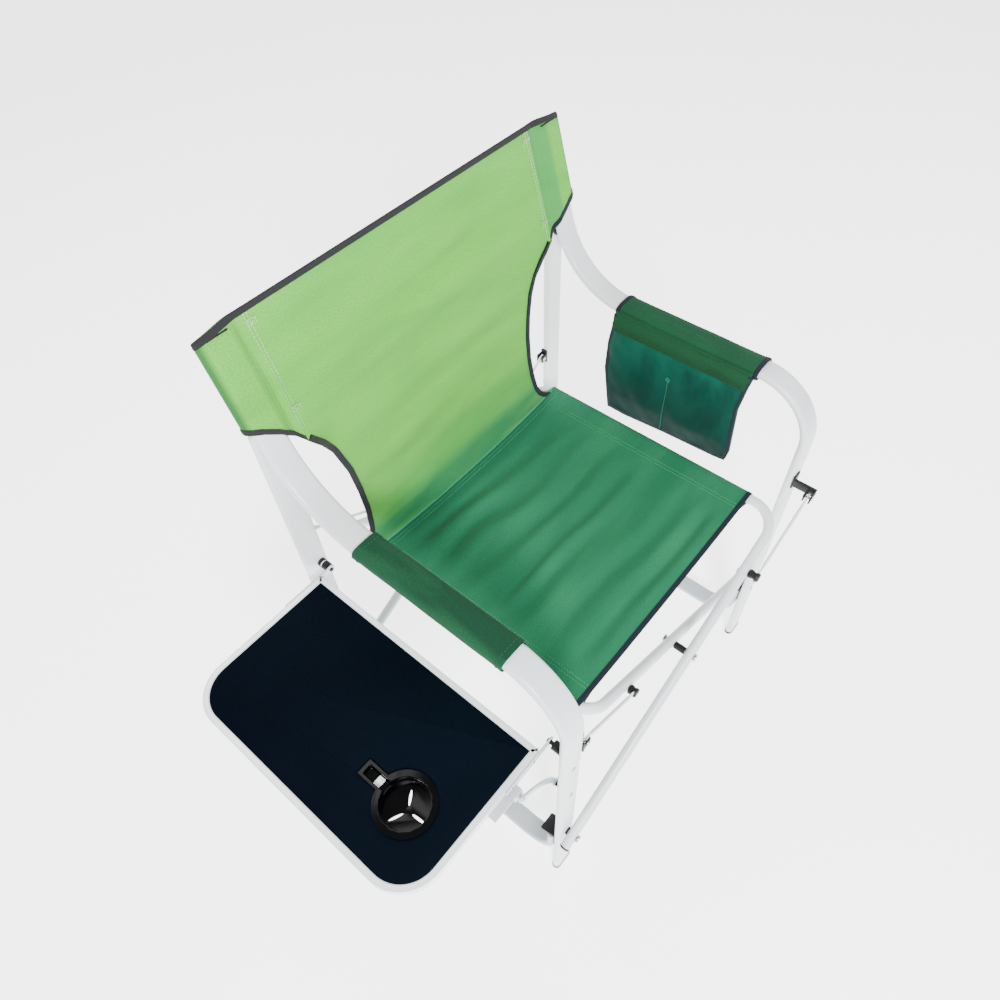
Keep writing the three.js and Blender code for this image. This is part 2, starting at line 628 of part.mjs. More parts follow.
for (const [sideName, side] of SIDES) {
  add(`arm_tube_${sideName}`, armTube(side), whiteTube);
  add(`rear_leg_${sideName}`, rearLeg(side), whiteTube);
  add(`lower_rail_${sideName}`, lowerRail(side), whiteTube);
  add(`upright_plug_${sideName}`, uprightPlug(side), blackPlastic);
  add(`leg_joint_${sideName}`, legJoint(side), boltSteel);
  add(`arm_sleeve_${sideName}`, armSleeve(side), armGreen);
  add(`back_sleeve_${sideName}`, backSleeve(side), backGreen);
  for (const [endName, end] of ENDS) {
    add(`rail_connector_${endName}_${sideName}`, railConnector(side, end), blackPlastic);
    add(`foot_plug_${endName}_${sideName}`, footPlug(side, end), blackPlastic);
    add(`stay_bracket_${endName}_${sideName}`, stayBracket(side, end), blackPlastic);
    add(`pivot_bolt_${endName}_${sideName}`, pivotBolt(side, end), boltSteel);
    add(`stay_${endName}_${sideName}`, stay(side, end), whiteTube);
    add(`stay_knob_${endName}_${sideName}`, stayKnob(side, end), blackPlastic);
  }
}

add('seat_frame_a', seatFrame(1), whiteTube);
add('seat_frame_b', seatFrame(-1), whiteTube);
for (const [endName, end] of ENDS) add(`cross_bolt_${endName}`, crossBolt(end), boltSteel);
add('seat_panel', seatPanel(), seatGreen);
add('back_panel', backPanel(), backGreen);
add('pocket_back_panel', pocketPanel(POCKET.x), pocketTeal);
add('pocket_front_panel', pocketPanel(POCKET.x - POCKET.depth - POCKET.skin), pocketTeal);
add('pocket_binding', pocketBinding(), bindingNavy);

add('table_board', tableBoard(), boardBlack);
add('table_rim', tableRim(), edgeSilver);
add('cup_holder', cupHolder(), cupBlack);
for (const [endName, end] of ENDS) {
  add(`table_bracket_${endName}`, tableBracket(end), edgeSilver);
  add(`table_bolt_${endName}`, tableBolt(end), blackPlastic);
}
add('brace_strap', braceStrap(), edgeSilver);
add('brace_plate', bracePlate(), edgeSilver);
add('brace_peg', bracePeg(), blackPlastic);

// The origin is the middle of the whole chair's footprint, on the floor.
const bounds = new THREE.Box3().setFromObject(chair);
const middle = bounds.getCenter(new THREE.Vector3());
chair.position.set(-middle.x, -middle.y, -bounds.min.z);

export default chair;
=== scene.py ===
"""Folding director chair: sling seat and back, flat-oval arm tubes, side table, arm pocket."""
import math

import bmesh
import bpy
from mathutils import Matrix, Vector, noise


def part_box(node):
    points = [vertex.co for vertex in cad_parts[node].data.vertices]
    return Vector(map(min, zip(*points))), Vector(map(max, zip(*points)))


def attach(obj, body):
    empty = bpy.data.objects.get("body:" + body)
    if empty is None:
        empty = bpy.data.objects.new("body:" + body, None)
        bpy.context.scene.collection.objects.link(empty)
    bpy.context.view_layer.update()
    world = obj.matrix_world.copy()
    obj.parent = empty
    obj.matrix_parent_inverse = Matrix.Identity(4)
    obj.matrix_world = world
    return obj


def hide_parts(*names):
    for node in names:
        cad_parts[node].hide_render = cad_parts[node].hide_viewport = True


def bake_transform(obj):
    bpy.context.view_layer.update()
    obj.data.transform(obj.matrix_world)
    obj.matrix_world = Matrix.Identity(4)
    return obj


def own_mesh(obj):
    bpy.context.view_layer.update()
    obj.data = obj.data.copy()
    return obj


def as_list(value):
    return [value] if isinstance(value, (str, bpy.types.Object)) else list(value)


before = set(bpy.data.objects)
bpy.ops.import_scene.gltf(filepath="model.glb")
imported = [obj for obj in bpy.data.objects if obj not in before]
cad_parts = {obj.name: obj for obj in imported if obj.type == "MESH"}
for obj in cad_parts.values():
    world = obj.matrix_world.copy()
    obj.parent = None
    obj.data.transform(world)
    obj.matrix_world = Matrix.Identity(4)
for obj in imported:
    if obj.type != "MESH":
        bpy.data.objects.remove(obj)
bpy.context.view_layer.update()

X, Y, Z = Vector((1, 0, 0)), Vector((0, 1, 0)), Vector((0, 0, 1))
SIDES = (("right", -1), ("left", 1))
ENDS = (("front", -1), ("rear", 1))


def middle_of(node):
    low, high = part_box(node)
    return (low + high) / 2


# Sizes below are millimetres from the chair's centre plane, which the side table pushes off the origin.
MIDDLE = (middle_of("foot_plug_front_right").x + middle_of("foot_plug_front_left").x) / 2
SIDE = (middle_of("foot_plug_front_left").x - MIDDLE) * 1000
LEG = middle_of("foot_plug_rear_left").y * 1000


def at(x, y, z):
    return Vector((MIDDLE + x / 1000, y / 1000, z / 1000))


def mm(v):
    return Vector(v) / 1000


def ease(t, low=0.0, high=1.0):
    t = min(max((t - low) / (high - low), 0.0), 1.0)
    return t * t * (3 - 2 * t)


def along_points(table, value):
    """Reads a table of (value, result) pairs with straight lines between them."""
    if value <= table[0][0]:
        return table[0][1]
    for (a, ra), (b, rb) in zip(table, table[1:]):
        if value <= b:
            return ra + (rb - ra) * (value - a) / (b - a)
    return table[-1][1]


# ---------------------------------------------------------------- finishes
class Value:
    """A shader socket that adds, multiplies and compares like a number."""

    def __init__(self, paint, socket):
        self.paint, self.socket = paint, socket

    def _with(self, operation, *others):
        return self.paint.node("ShaderNodeMath", {"operation": operation},
                               dict(enumerate((self, *others))))["Value"]

    def __add__(self, other):
        return self._with("ADD", other)

    def __sub__(self, other):
        return self._with("SUBTRACT", other)

    def __mul__(self, other):
        return self._with("MULTIPLY", other)

    def __rsub__(self, other):
        return self.paint.node("ShaderNodeMath", {"operation": "SUBTRACT"}, {0: other, 1: self})["Value"]

    __radd__ = __add__
    __rmul__ = __mul__

    def wave(self):
        return self._with("SINE")

    def size(self):
        return self._with("ABSOLUTE")


class Paint:
    """One finish: a Principled surface and the nodes that feed it."""

    def __init__(self, name, **constants):
        self.material = bpy.data.materials.new(name)
        self.material.use_nodes = True
        self.tree = self.material.node_tree
        self.surface = self.tree.nodes["Principled BSDF"]
        for label, value in constants.items():
            self.surface.inputs[label.replace("_", " ").title().replace("Ior", "IOR")].default_value = value

    def node(self, kind, settings=None, sockets=None):
        made = self.tree.nodes.new(kind)
        for label, value in (settings or {}).items():
            if label == "stops":
                self._stops(made.color_ramp, value)
            else:
                setattr(made, label, value)
        for label, value in (sockets or {}).items():
            self.feed(made.inputs[label], value)
        return {s.name: Value(self, s) for s in made.outputs if s.enabled}

    def _stops(self, ramp, stops):
        while len(ramp.elements) < len(stops):
            ramp.elements.new(0.5)
        for element, (place, colour) in zip(ramp.elements, stops):
            element.position, element.color = place, (*colour, 1)

    def feed(self, socket, value):
        if isinstance(value, Value):
            self.tree.links.new(value.socket, socket)
        elif socket.type == "RGBA" and len(value) == 3:
            socket.default_value = (*value, 1)
        else:
            socket.default_value = value

    def to(self, label, value):
        self.feed(self.surface.inputs[label], value)

    def place(self, kind="Object"):
        return self.node("ShaderNodeTexCoord")[kind]

    def parts(self, vector):
        out = self.node("ShaderNodeSeparateXYZ", None, {0: vector})
        return out["X"], out["Y"], out["Z"]

    def stretch(self, vector, scale):
        return self.node("ShaderNodeVectorMath", {"operation": "MULTIPLY"}, {0: vector, 1: scale})["Vector"]

    def speckle(self, vector, scale, detail=2.0, rough=0.5):
        return self.node("ShaderNodeTexNoise", None, {
            "Vector": vector, "Scale": scale, "Detail": detail, "Roughness": rough})["Fac"]

    def between(self, low, high, value):
        return self.node("ShaderNodeMapRange", None, {0: value, 1: low, 2: high})["Result"]

    def ramp(self, value, stops):
        return self.node("ShaderNodeValToRGB", {"stops": stops}, {0: value})["Color"]

    def mix(self, share, a, b, blend="MIX"):
        made = self.tree.nodes.new("ShaderNodeMix")
        made.data_type, made.blend_type = "RGBA", blend
        self.feed(made.inputs[0], share)
        self.feed(made.inputs[6], a)
        self.feed(made.inputs[7], b)
        return Value(self, made.outputs[2])

    def bump(self, height, strength, distance):
        self.to("Normal", self.node("ShaderNodeBump", None, {
            "Height": height, "Strength": strength, "Distance": distance})["Normal"])


def dye(code):
    """A colour from its six-figure code, as light."""
    parts = [int(code[i:i + 2], 16) / 255 for i in (0, 2, 4)]
    return tuple(c / 12.92 if c <= 0.04045 else ((c + 0.055) / 1.055) ** 2.4 for c in parts)


def woven(name, axis, low, high, stops, fade=0.16, threads=1500.0, sheen=0.06, rough=0.82, fold_shade_stretch=(4, 30, 30),
          deep="1C4A34", pale=None, painted_fold_strength=0.5, outer=None, inner=None):
    """Plain-woven polyester. Its colour runs along one axis from low to high, in metres. deep serves the
    random mottle, the weave and painted fold shade in long streaks; pale is painted highlight on the streaks'
    ridges; outer and inner paint bands of shade.
    """
    paint = Paint(name, sheen_weight=sheen, sheen_roughness=0.45, specular_ior_level=0.16)
    spot = paint.place()
    run = paint.between(low, high, paint.parts(spot)[axis])
    colour = paint.ramp(run, [(share, dye(code)) for share, code in stops])
    cloud = paint.speckle(paint.stretch(spot, (5, 14, 14)), 1.0, 3.0)
    colour = paint.mix(paint.between(0.35, 0.7, cloud) * fade, colour, dye(deep))
    # painted fold shade and highlight: long streaks darken towards deep in the valleys and, with pale,
    # lighten on the ridges
    lines = paint.speckle(paint.stretch(spot, fold_shade_stretch), 1.0, 2.0, 0.45)
    colour = paint.mix(paint.between(0.52, 0.7, lines) * painted_fold_strength, colour, dye(deep))
    if pale:
        colour = paint.mix(paint.between(0.48, 0.3, lines) * painted_fold_strength, colour, dye(pale))
    # painted shade where the sleeve cloth turns away at its outer edge
    if outer:
        middle, start, stop, code = outer
        off = (paint.parts(spot)[0] - middle).size()
        colour = paint.mix(paint.between(start, stop, off) * 0.85, colour, dye(code))
    # painted shade in a band between the seam and the upright tube
    if inner:
        start, stop, code = inner
        across = paint.parts(spot)[0]
        painted_shade_band = paint.between(start, start + 0.002, across) * paint.between(stop, stop - 0.008, across)
        colour = paint.mix(painted_shade_band * 0.6, colour, dye(code))
    u, v, _ = paint.parts(paint.place("UV"))
    warp = (u * threads * 2).wave()
    weft = (v * threads * 2).wave()
    cross = warp * weft
    fleck = paint.speckle(paint.stretch(paint.place("UV"), (480, 480, 480)), 1.0, 3.0)
    shade = paint.between(-1.0, 1.0, cross) * 0.10 + paint.between(0.4, 0.6, fleck) * 0.36
    colour = paint.mix(shade, colour, dye(deep))
    paint.to("Base Color", colour)
    paint.to("Roughness", rough + fleck * 0.12 - 0.06)
    paint.bump(cross * 0.5 + fleck * 0.7, 0.35, 0.0004)
    return paint.material


def tape(name, code, edge):
    """Ribbed binding tape."""
    paint = Paint(name, sheen_weight=0.05, specular_ior_level=0.2)
    spot = paint.place()
    rib = (paint.parts(paint.place("UV"))[0] * 4200.0).wave()
    fleck = paint.speckle(spot, 700.0, 2.0)
    colour = paint.mix(paint.between(-1.0, 1.0, rib) * 0.35 + fleck * 0.3, dye(code), dye(edge))
    paint.to("Base Color", colour)
    paint.to("Roughness", 0.72 + fleck * 0.2)
    paint.bump(rib * 0.6 + fleck, 0.4, 0.0004)
    return paint.material


def lacquer(name, code, worn, rough, metal=0.0, coat=0.0, grain=0.35, shine=0.5):
    """Sprayed or moulded finish with a faint orange peel and slightly duller patches."""
    paint = Paint(name, specular_ior_level=shine, coat_roughness=0.18)
    spot = paint.place()
    patch = paint.speckle(spot, 9.0, 4.0)
    peel = paint.speckle(spot, 620.0, 2.0)
    dust = paint.speckle(spot, 70.0, 5.0, 0.6)
    colour = paint.mix(paint.between(0.42, 0.72, patch) * grain, dye(code), dye(worn))
    paint.to("Base Color", paint.mix(paint.between(0.62, 0.8, dust) * 0.25, colour, dye(worn)))
    paint.to("Roughness", rough + patch * 0.12 + paint.between(0.6, 0.85, dust) * 0.1 - 0.06)
    paint.surface.inputs["Metallic"].default_value = metal
    paint.surface.inputs["Coat Weight"].default_value = coat
    paint.bump(peel + dust * 0.4, 0.12, 0.0003)
    return paint.material


def laminate():
    """The table top: fine pebbled dark laminate with a faint blue cast."""
    paint = Paint("pebbled table laminate", specular_ior_level=0.02)
    spot = paint.place()
    cells = paint.node("ShaderNodeTexVoronoi", {"feature": "F1"},
                       {"Vector": spot, "Scale": 620.0})["Distance"]
    cloud = paint.speckle(spot, 6.0, 3.0)
    fleck = paint.speckle(spot, 900.0, 2.0)
    colour = paint.mix(paint.between(0.35, 0.7, cloud) * 0.6, dye("01040A"), dye("030A12"))
    colour = paint.mix(paint.between(0.25, 0.75, fleck) * 0.35, colour, dye("0A1420"))
    paint.to("Base Color", colour)
    paint.to("Roughness", 0.56 + cells * 0.2)
    paint.bump(cells + fleck * 0.4, 0.45, 0.0005)
    return paint.material


def drawn_metal(name, code, dark):
    """Satin aluminium channel with fine lines along its length."""
    paint = Paint(name, specular_ior_level=0.5, anisotropic=0.3)
    spot = paint.place()
    lines = paint.speckle(paint.stretch(spot, (60, 60, 1500)), 1.0, 2.0)
    patch = paint.speckle(spot, 14.0, 3.0)
    paint.to("Base Color",
             paint.mix(lines * 0.25 + paint.between(0.45, 0.75, patch) * 0.3, dye(code), dye(dark)))
    paint.to("Roughness", 0.34 + lines * 0.12 + patch * 0.08)
    paint.surface.inputs["Metallic"].default_value = 0.35
    paint.bump(lines, 0.1, 0.0002)
    return paint.material


def coated_nylon():
    """The pocket: smooth coated nylon, teal, shinier than the canvas, darker towards the bottom and in soft
    clouds.
    """
    paint = Paint("coated pocket nylon", specular_ior_level=0.06, sheen_weight=0.0)
    spot = paint.place()
    cloud = paint.speckle(paint.stretch(spot, (10, 18, 9)), 1.0, 4.0)
    # darker towards the bottom
    run = paint.between(0.47, 0.66, paint.parts(spot)[2])
    colour = paint.ramp(run, [(0.0, dye("031E1A")), (0.3, dye("07342C")), (0.6, dye("0A4238")),
                              (1.0, dye("0F5042"))])
    colour = paint.mix(paint.between(0.45, 0.62, cloud) * 0.6, colour, dye("052822"))
    u, v, _ = paint.parts(paint.place("UV"))
    cross = (u * 5200.0).wave() * (v * 5200.0).wave()
    paint.to("Base Color", paint.mix(paint.between(-1.0, 1.0, cross) * 0.14, colour, dye("0A2E2A")))
    paint.to("Roughness", 0.46 + cloud * 0.2)
    paint.bump(cross + cloud * 3.0, 0.16, 0.0006)
    return paint.material


WHITE = lacquer("white sprayed tube", "CFD3D6", "B9BFC4", 0.36, 0.0, 0.05)
# a greyer copy of the white tube lacquer for the lower rails: painted shadow
RAIL_WHITE_PAINTED_SHADOW = lacquer("white rail greyed as painted shadow", "B2B7BC", "959BA1", 0.42, 0.0, 0.0, 0.6)
BLACK = lacquer("black moulded plastic", "08090A", "141618", 0.5, 0.0, 0.0, 0.35, 0.3)
GLOSS = lacquer("gloss black cup plastic", "010102", "020407", 0.22, 0.0, 0.0, 0.2, 0.12)
PLATED = lacquer("plated rivet steel", "A9ADB1", "7E8387", 0.32, 0.9)
SILVER = drawn_metal("satin rim channel", "E9ECEE", "BFC5CA")
STAMPED = drawn_metal("stamped bracket metal", "C4C9CE", "8E959B")
LAMINATE = laminate()
NYLON = coated_nylon()
# from the crease to the top edge
BACK_DYES = [(0.0, "186A46"), (0.1, "1E7048"), (0.155, "48963F"), (0.32, "5EA63C"), (0.8, "5CA838"),
             (1.0, "5CA83E")]
BACK_CANVAS = woven("light green back canvas", 2, 0.46, 0.92, BACK_DYES, 0.1, fold_shade_stretch=(5, 5, 26),
                    deep="357C33", pale="70BA4C", painted_fold_strength=0.28)
# back canvas with painted shade at the sleeve's outer edge and in a band beside the tube
SLEEVE_CANVAS_WITH_PAINTED_SHADE = woven("light green sleeve canvas", 2, 0.46, 0.92, BACK_DYES, 0.1, fold_shade_stretch=(5, 5, 26),
                      deep="357C33", pale="70BA4C", painted_fold_strength=0.28,
                      outer=(MIDDLE, 0.3085, 0.3155, "0E3E26"),
                      inner=(MIDDLE + 0.2515, MIDDLE + 0.288, "1C7248"))
SEAT_CANVAS = woven("green seat canvas", 1, -0.21, 0.19,
                    [(0.0, "196042"), (0.35, "1C6244"), (0.7, "216648"), (1.0, "20664A")],
                    0.1, fold_shade_stretch=(4.5, 24, 5), deep="0C4A2C", pale="2E8458", painted_fold_strength=0.26)
# a lighter copy of the seat canvas for the front crease ridge: a painted highlight
RIDGE_CANVAS_PAINTED_HIGHLIGHT = woven("sewn crease canvas", 1, -0.21, 0.19, [(0.0, "2A8258"), (1.0, "2E875C")], 0.05,
                     deep="1E6A46", painted_fold_strength=0.3)
ARM_CANVAS = woven("dark green arm canvas", 0, -0.2, 0.44,
                   [(0.0, "083722"), (0.5, "0A3C25"), (1.0, "0C4429")],
                   0.2, fold_shade_stretch=(30, 6, 20), deep="062A1A", pale="2E764C", painted_fold_strength=0.2)
STRIP_CANVAS = woven("olive pocket strip canvas", 2, 0.63, 0.67, [(0.0, "0A3820"), (1.0, "0D4026")],
                     fold_shade_stretch=(20, 8, 60), deep="072A17", painted_fold_strength=0.5)
NAVY_TAPE = tape("navy binding tape", "070D16", "141F2C")
GREY_TAPE = tape("charcoal binding tape", "151617", "2C2E2F")
CUT_TAPE = {-1: GREY_TAPE, 1: NAVY_TAPE}
THREAD = woven("green sewing thread", 2, 0.4, 0.9, [(0.0, "2E8058"), (0.2, "328656"), (1.0, "A4D48C")], 0.05,
               painted_fold_strength=0.2)
TEAL_THREAD = woven("teal sewing thread", 2, 0.4, 0.9, [(0.0, "1C6A58"), (1.0, "2A7C68")], 0.05, painted_fold_strength=0.1)
DARK_THREAD = woven("dark green sewing thread", 2, 0.4, 0.9, [(0.0, "0C3E28"), (1.0, "0E4A30")], 0.05,
                    painted_fold_strength=0.2)


# ---------------------------------------------------------------- workbench
def put_down():
    if bpy.context.object and bpy.context.object.mode != "OBJECT":
        bpy.ops.object.mode_set(mode="OBJECT")
    bpy.ops.object.select_all(action="DESELECT")


def take(piece):
    put_down()
    piece.select_set(True)
    bpy.context.view_layer.objects.active = piece
    return piece


def set_in_place():
    bpy.ops.object.transform_apply(location=True, rotation=True, scale=True)


def pick(test):
    """Selects the points of the piece in hand that pass the test."""
    bpy.ops.mesh.select_mode(type="VERT")
    bpy.ops.mesh.select_all(action="DESELECT")
    made = bmesh.from_edit_mesh(bpy.context.object.data)
    for point in made.verts:
        point.select_set(test(point.co))
    made.select_flush(True)
    bmesh.update_edit_mesh(bpy.context.object.data)


def draw_out(by):
    bpy.ops.mesh.extrude_region_move(TRANSFORM_OT_translate={"value": tuple(by)})


def tidy_mesh():
    bpy.ops.mesh.select_all(action="SELECT")
    bpy.ops.mesh.remove_doubles(threshold=0.00001)
    bpy.ops.mesh.normals_make_consistent(inside=False)


def press(piece, kind, **settings):
    """Adds a modifier to the piece and applies it."""
    take(piece)
    bpy.ops.object.modifier_add(type=kind)
    made = piece.modifiers[-1]
    for label, value in settings.items():
        setattr(made, label, value)
    bpy.ops.object.modifier_apply(modifier=made.name)


def round_edges(piece, width, segments=2, angle=40):
    press(piece, "BEVEL", width=width / 1000, segments=segments, limit_method="ANGLE",
          angle_limit=math.radians(angle), harden_normals=False)


def done(piece, name, finish, slot, body=None, nodes=(), smooth=38):
    take(piece)
    piece.name = piece.data.name = name
    piece.data.materials.clear()
    piece.data.materials.append(finish)
    bpy.ops.object.shade_smooth_by_angle(angle=math.radians(smooth))
    if body:
        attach(piece, body)
    if nodes:
        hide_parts(*nodes)
    return piece


def disc(radius, sides, place, direction, roll=0.0):
    put_down()
    turn = Z.rotation_difference(direction) @ Matrix.Rotation(roll, 3, "Z").to_quaternion()
    bpy.ops.mesh.primitive_circle_add(vertices=sides, radius=radius, fill_type="NGON",
                                      location=place, rotation=turn.to_euler())
    set_in_place()
    bpy.ops.object.mode_set(mode="EDIT")
    bpy.ops.mesh.select_all(action="SELECT")
    return bpy.context.object


def oval_disc(width, thick, place, direction):
    """A flat-oval end, wide along X, ready to be drawn out."""
    piece = disc(thick / 2000, 24, place, direction, math.radians(7.5))
    for way in (1, -1):
        pick(lambda p: (p.x - place.x) * way > 0)
        bpy.ops.transform.translate(value=(way * (width - thick) / 2000, 0, 0))
    bpy.ops.mesh.select_all(action="SELECT")
    return piece


def draw_tube(corners, steps=10):
    """Draws the end in hand along straight runs and true bends. A corner is (place, radius in mm)."""
    here = corners[0][0]
    for i in range(1, len(corners)):
        place, radius = corners[i]
        if i == len(corners) - 1:
            draw_out(place - here)
            return
        into = (place - corners[i - 1][0]).normalized()
        out = (corners[i + 1][0] - place).normalized()
        turn = into.angle(out)
        reach = radius / 1000 * math.tan(turn / 2)
        start = place - into * reach
        draw_out(start - here)
        axis = into.cross(out).normalized()
        centre = start + axis.cross(into) * radius / 1000
        bpy.ops.mesh.spin(steps=steps, angle=SPIN * turn, center=centre, axis=axis)
        here = place + out * reach


def spin_way():
    """Which way this Blender turns a positive spin."""
    piece = disc(0.001, 4, Vector((0.01, 0, 0)), Y)
    bpy.ops.mesh.spin(steps=1, angle=0.5, center=(0, 0, 0), axis=(0, 0, 1))
    made = bmesh.from_edit_mesh(piece.data)
    far = max((p.co for p in made.verts), key=lambda p: abs(p.y))
    way = 1 if far.y > 0 else -1
    put_down()
    bpy.data.objects.remove(piece)
    return way


SPIN = spin_way()


def turned(name, place, direction, profile, finish, slot, body, nodes=(), sides=32, edge=0.35):
    """A piece turned on a lathe. The profile is (radius, distance along the axis) pairs, in mm."""
    piece = disc(profile[0][0] / 1000, sides, place + direction * profile[0][1] / 1000, direction)
    for (r0, d0), (r1, d1) in zip(profile, profile[1:]):
        draw_out(direction * (d1 - d0) / 1000)
        if r1 != r0:
            bpy.ops.transform.resize(value=(r1 / r0,) * 3, center_override=place + direction * d1 / 1000)
    tidy_mesh()
    put_down()
    if edge:
        round_edges(piece, edge, 2, 35)
    return done(piece, name, finish, slot, body, nodes)


def dressed(name, node, finish, slot, body, edge=0.5):
    """A forged or moulded part taken over from the frame, merged, with its edges broken."""
    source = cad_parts[node]
    piece = bpy.data.objects.new(name, source.data.copy())
    bpy.context.scene.collection.objects.link(piece)
    take(piece)
    bpy.ops.mesh.customdata_custom_splitnormals_clear()
    bpy.ops.object.mode_set(mode="EDIT")
    tidy_mesh()
    bpy.ops.mesh.dissolve_limited(angle_limit=math.radians(2))
    put_down()
    round_edges(piece, edge, 2, 35)
    return done(piece, name, finish, slot, body, (node,))


# ---------------------------------------------------------------- sewing
def from_points(name, points, faces):
    """A new piece made of these points and faces, with an empty cut pattern."""
    mesh = bpy.data.meshes.new(name)
    mesh.from_pydata([tuple(p) for p in points], [], faces)
    mesh.uv_layers.new(name="cut")
    piece = bpy.data.objects.new(name, mesh)
    bpy.context.scene.collection.objects.link(piece)
    return piece


def sheet_mesh(name, columns, rows, shape, flat, closed=False):
    """A cloth grid. shape(u, v) gives a point for u and v from 0 to 1; flat is its cut size in mm."""
    wide = columns if closed else columns + 1
    points = [shape(c / columns, r / rows) for r in range(rows + 1) for c in range(wide)]
    faces = []
    for r in range(rows):
        for c in range(columns):
            n = (c + 1) % wide
            faces.append((r * wide + c, r * wide + n, (r + 1) * wide + n, (r + 1) * wide + c))
    piece = from_points(name, points, faces)
    layer = piece.data.uv_layers["cut"]
    for r in range(rows):
        for c in range(columns):
            first = (r * columns + c) * 4
            for k, (du, dv) in enumerate(((0, 0), (1, 0), (1, 1), (0, 1))):
                layer.data[first + k].uv = ((c + du) / columns * flat[0] / 1000,
                                            (r + dv) / rows * flat[1] / 1000)
    return piece


def thicken(piece, thick, offset=0.0):
    press(piece, "SOLIDIFY", thickness=thick / 1000, offset=offset, use_even_offset=True)


def bound_edge(name, edge, inward, normals, finish, slot, width=9.0, thick=3.4):
    """Binding tape folded over a cloth edge. edge, inward and normals are lists along it."""
    profile = [(width, -0.5), (width * 0.5, -0.54), (1.6, -0.5), (0.2, -0.3), (-0.35, 0.0),
               (0.2, 0.3), (1.6, 0.5), (width * 0.5, 0.54), (width, 0.5), (width + 0.3, 0.0)]
    size = len(profile)
    points, faces = [], []
    for place, inn, normal in zip(edge, inward, normals):
        points += [place + inn * a / 1000 + normal * b * thick / 1000 for a, b in profile]
    for i in range(len(edge) - 1):
        for k in range(size):
            n = (k + 1) % size
            faces.append((i * size + k, (i + 1) * size + k, (i + 1) * size + n, i * size + n))
    faces.append(tuple(range(size)))
    faces.append(tuple(reversed(range((len(edge) - 1) * size, len(edge) * size))))
    piece = from_points(name, points, faces)
    mesh = piece.data
    lengths = [0.0]
    for a, b in zip(edge, edge[1:]):
        lengths.append(lengths[-1] + (b - a).length)
    layer = mesh.uv_layers["cut"]
    for face in mesh.polygons:
        for loop in face.loop_indices:
            ring, spot = divmod(mesh.loops[loop].vertex_index, size)
            layer.data[loop].uv = (lengths[ring], profile[spot][0] / 1000)
    take(piece)
    bpy.ops.object.mode_set(mode="EDIT")
    bpy.ops.mesh.select_all(action="SELECT")
    bpy.ops.mesh.normals_make_consistent(inside=False)
    put_down()
    return done(piece, name, finish, slot, smooth=50)


def stitched(name, lines, slot, finish=None, length=3.4, pitch=4.8, width=1.25, rise=0.95):
    """Rows of stitches. Each line is a list of (place, normal), in metres."""
    points, faces = [], []
    for line in lines:
        gone, due = 0.0, pitch / 2000
        for (a, na), (b, nb) in zip(line, line[1:]):
            run = (b - a).length
            while run > 0 and due <= gone + run:
                t = (due - gone) / run
                place, normal = a.lerp(b, t), na.lerp(nb, t).normalized()
                way = (b - a).normalized()
                side = normal.cross(way).normalized()
                base = len(points)
                for level, l, w in ((-0.3, 0.5, 0.5), (rise * 0.55, 0.46, 0.5), (rise, 0.3, 0.22)):
                    for sl, sw in ((-1, -1), (1, -1), (1, 1), (-1, 1)):
                        points.append(place + way * sl * l * length / 1000 + side * sw * w * width / 1000
                                      + normal * level / 1000)
                for ring in (0, 4):
                    for k in range(4):
                        n = (k + 1) % 4
                        faces.append((base + ring + k, base + ring + n, base + ring + 4 + n,
                                      base + ring + 4 + k))
                faces.append(tuple(base + 8 + k for k in range(4)))
                faces.append(tuple(base + 3 - k for k in range(4)))
                due += pitch / 1000
            gone += run
    piece = from_points(name, points, faces)
    return done(piece, name, finish or THREAD, slot, smooth=30)


def bar_tack(place, normal, way, size=9.0):
    """The crossed lines of a bar tack, for stitched()."""
    side = normal.cross(way).normalized() * size / 2000
    half = way.normalized() * size / 2000
    corners = [place + half + side, place + half - side, place - half - side, place - half + side]
    lines = [[(corners[i], normal), (corners[(i + 1) % 4], normal)] for i in range(4)]
    return lines + [[(corners[0], normal), (corners[2], normal)],
                    [(corners[1], normal), (corners[3], normal)]]


def one_piece(pieces, name):
    take(pieces[0])
    for other in pieces[1:]:
        other.select_set(True)
    bpy.ops.object.join()
    pieces[0].name = pieces[0].data.name = name
    return pieces[0]


# ---------------------------------------------------------------- side frames
# just off straight down, which keeps the flat of the tube across the chair
NEARLY_DOWN = Vector((0, 0.0001, -1))
TUBE_WIDE, TUBE_THICK = 38.0, 13.0
ARM_Z, FRONT_BEND, REAR_BEND = 665.0, 95.0, 138.0
UPRIGHT_TOP, UPRIGHT_FOOT = (259.0, 905.0), 190.0
LEAN = (UPRIGHT_TOP[0] - UPRIGHT_FOOT) / (UPRIGHT_TOP[1] - ARM_Z)
FOOT_TOP = 6.0
PIVOT_Z, CROSS_Z, RAIL_X = 190.0, 348.0, 226.0
RAIL_Z = CROSS_Z + RAIL_X * (CROSS_Z - PIVOT_Z) / SIDE
OUTER_Y, INNER_Y = 258.5, 223.5
FRAME_R = 8.0                   # radius of the seat frame tube
FRAME_STEP = FRAME_R + 0.3


def upright_y(z):
    return UPRIGHT_FOOT + (z - ARM_Z) * LEAN


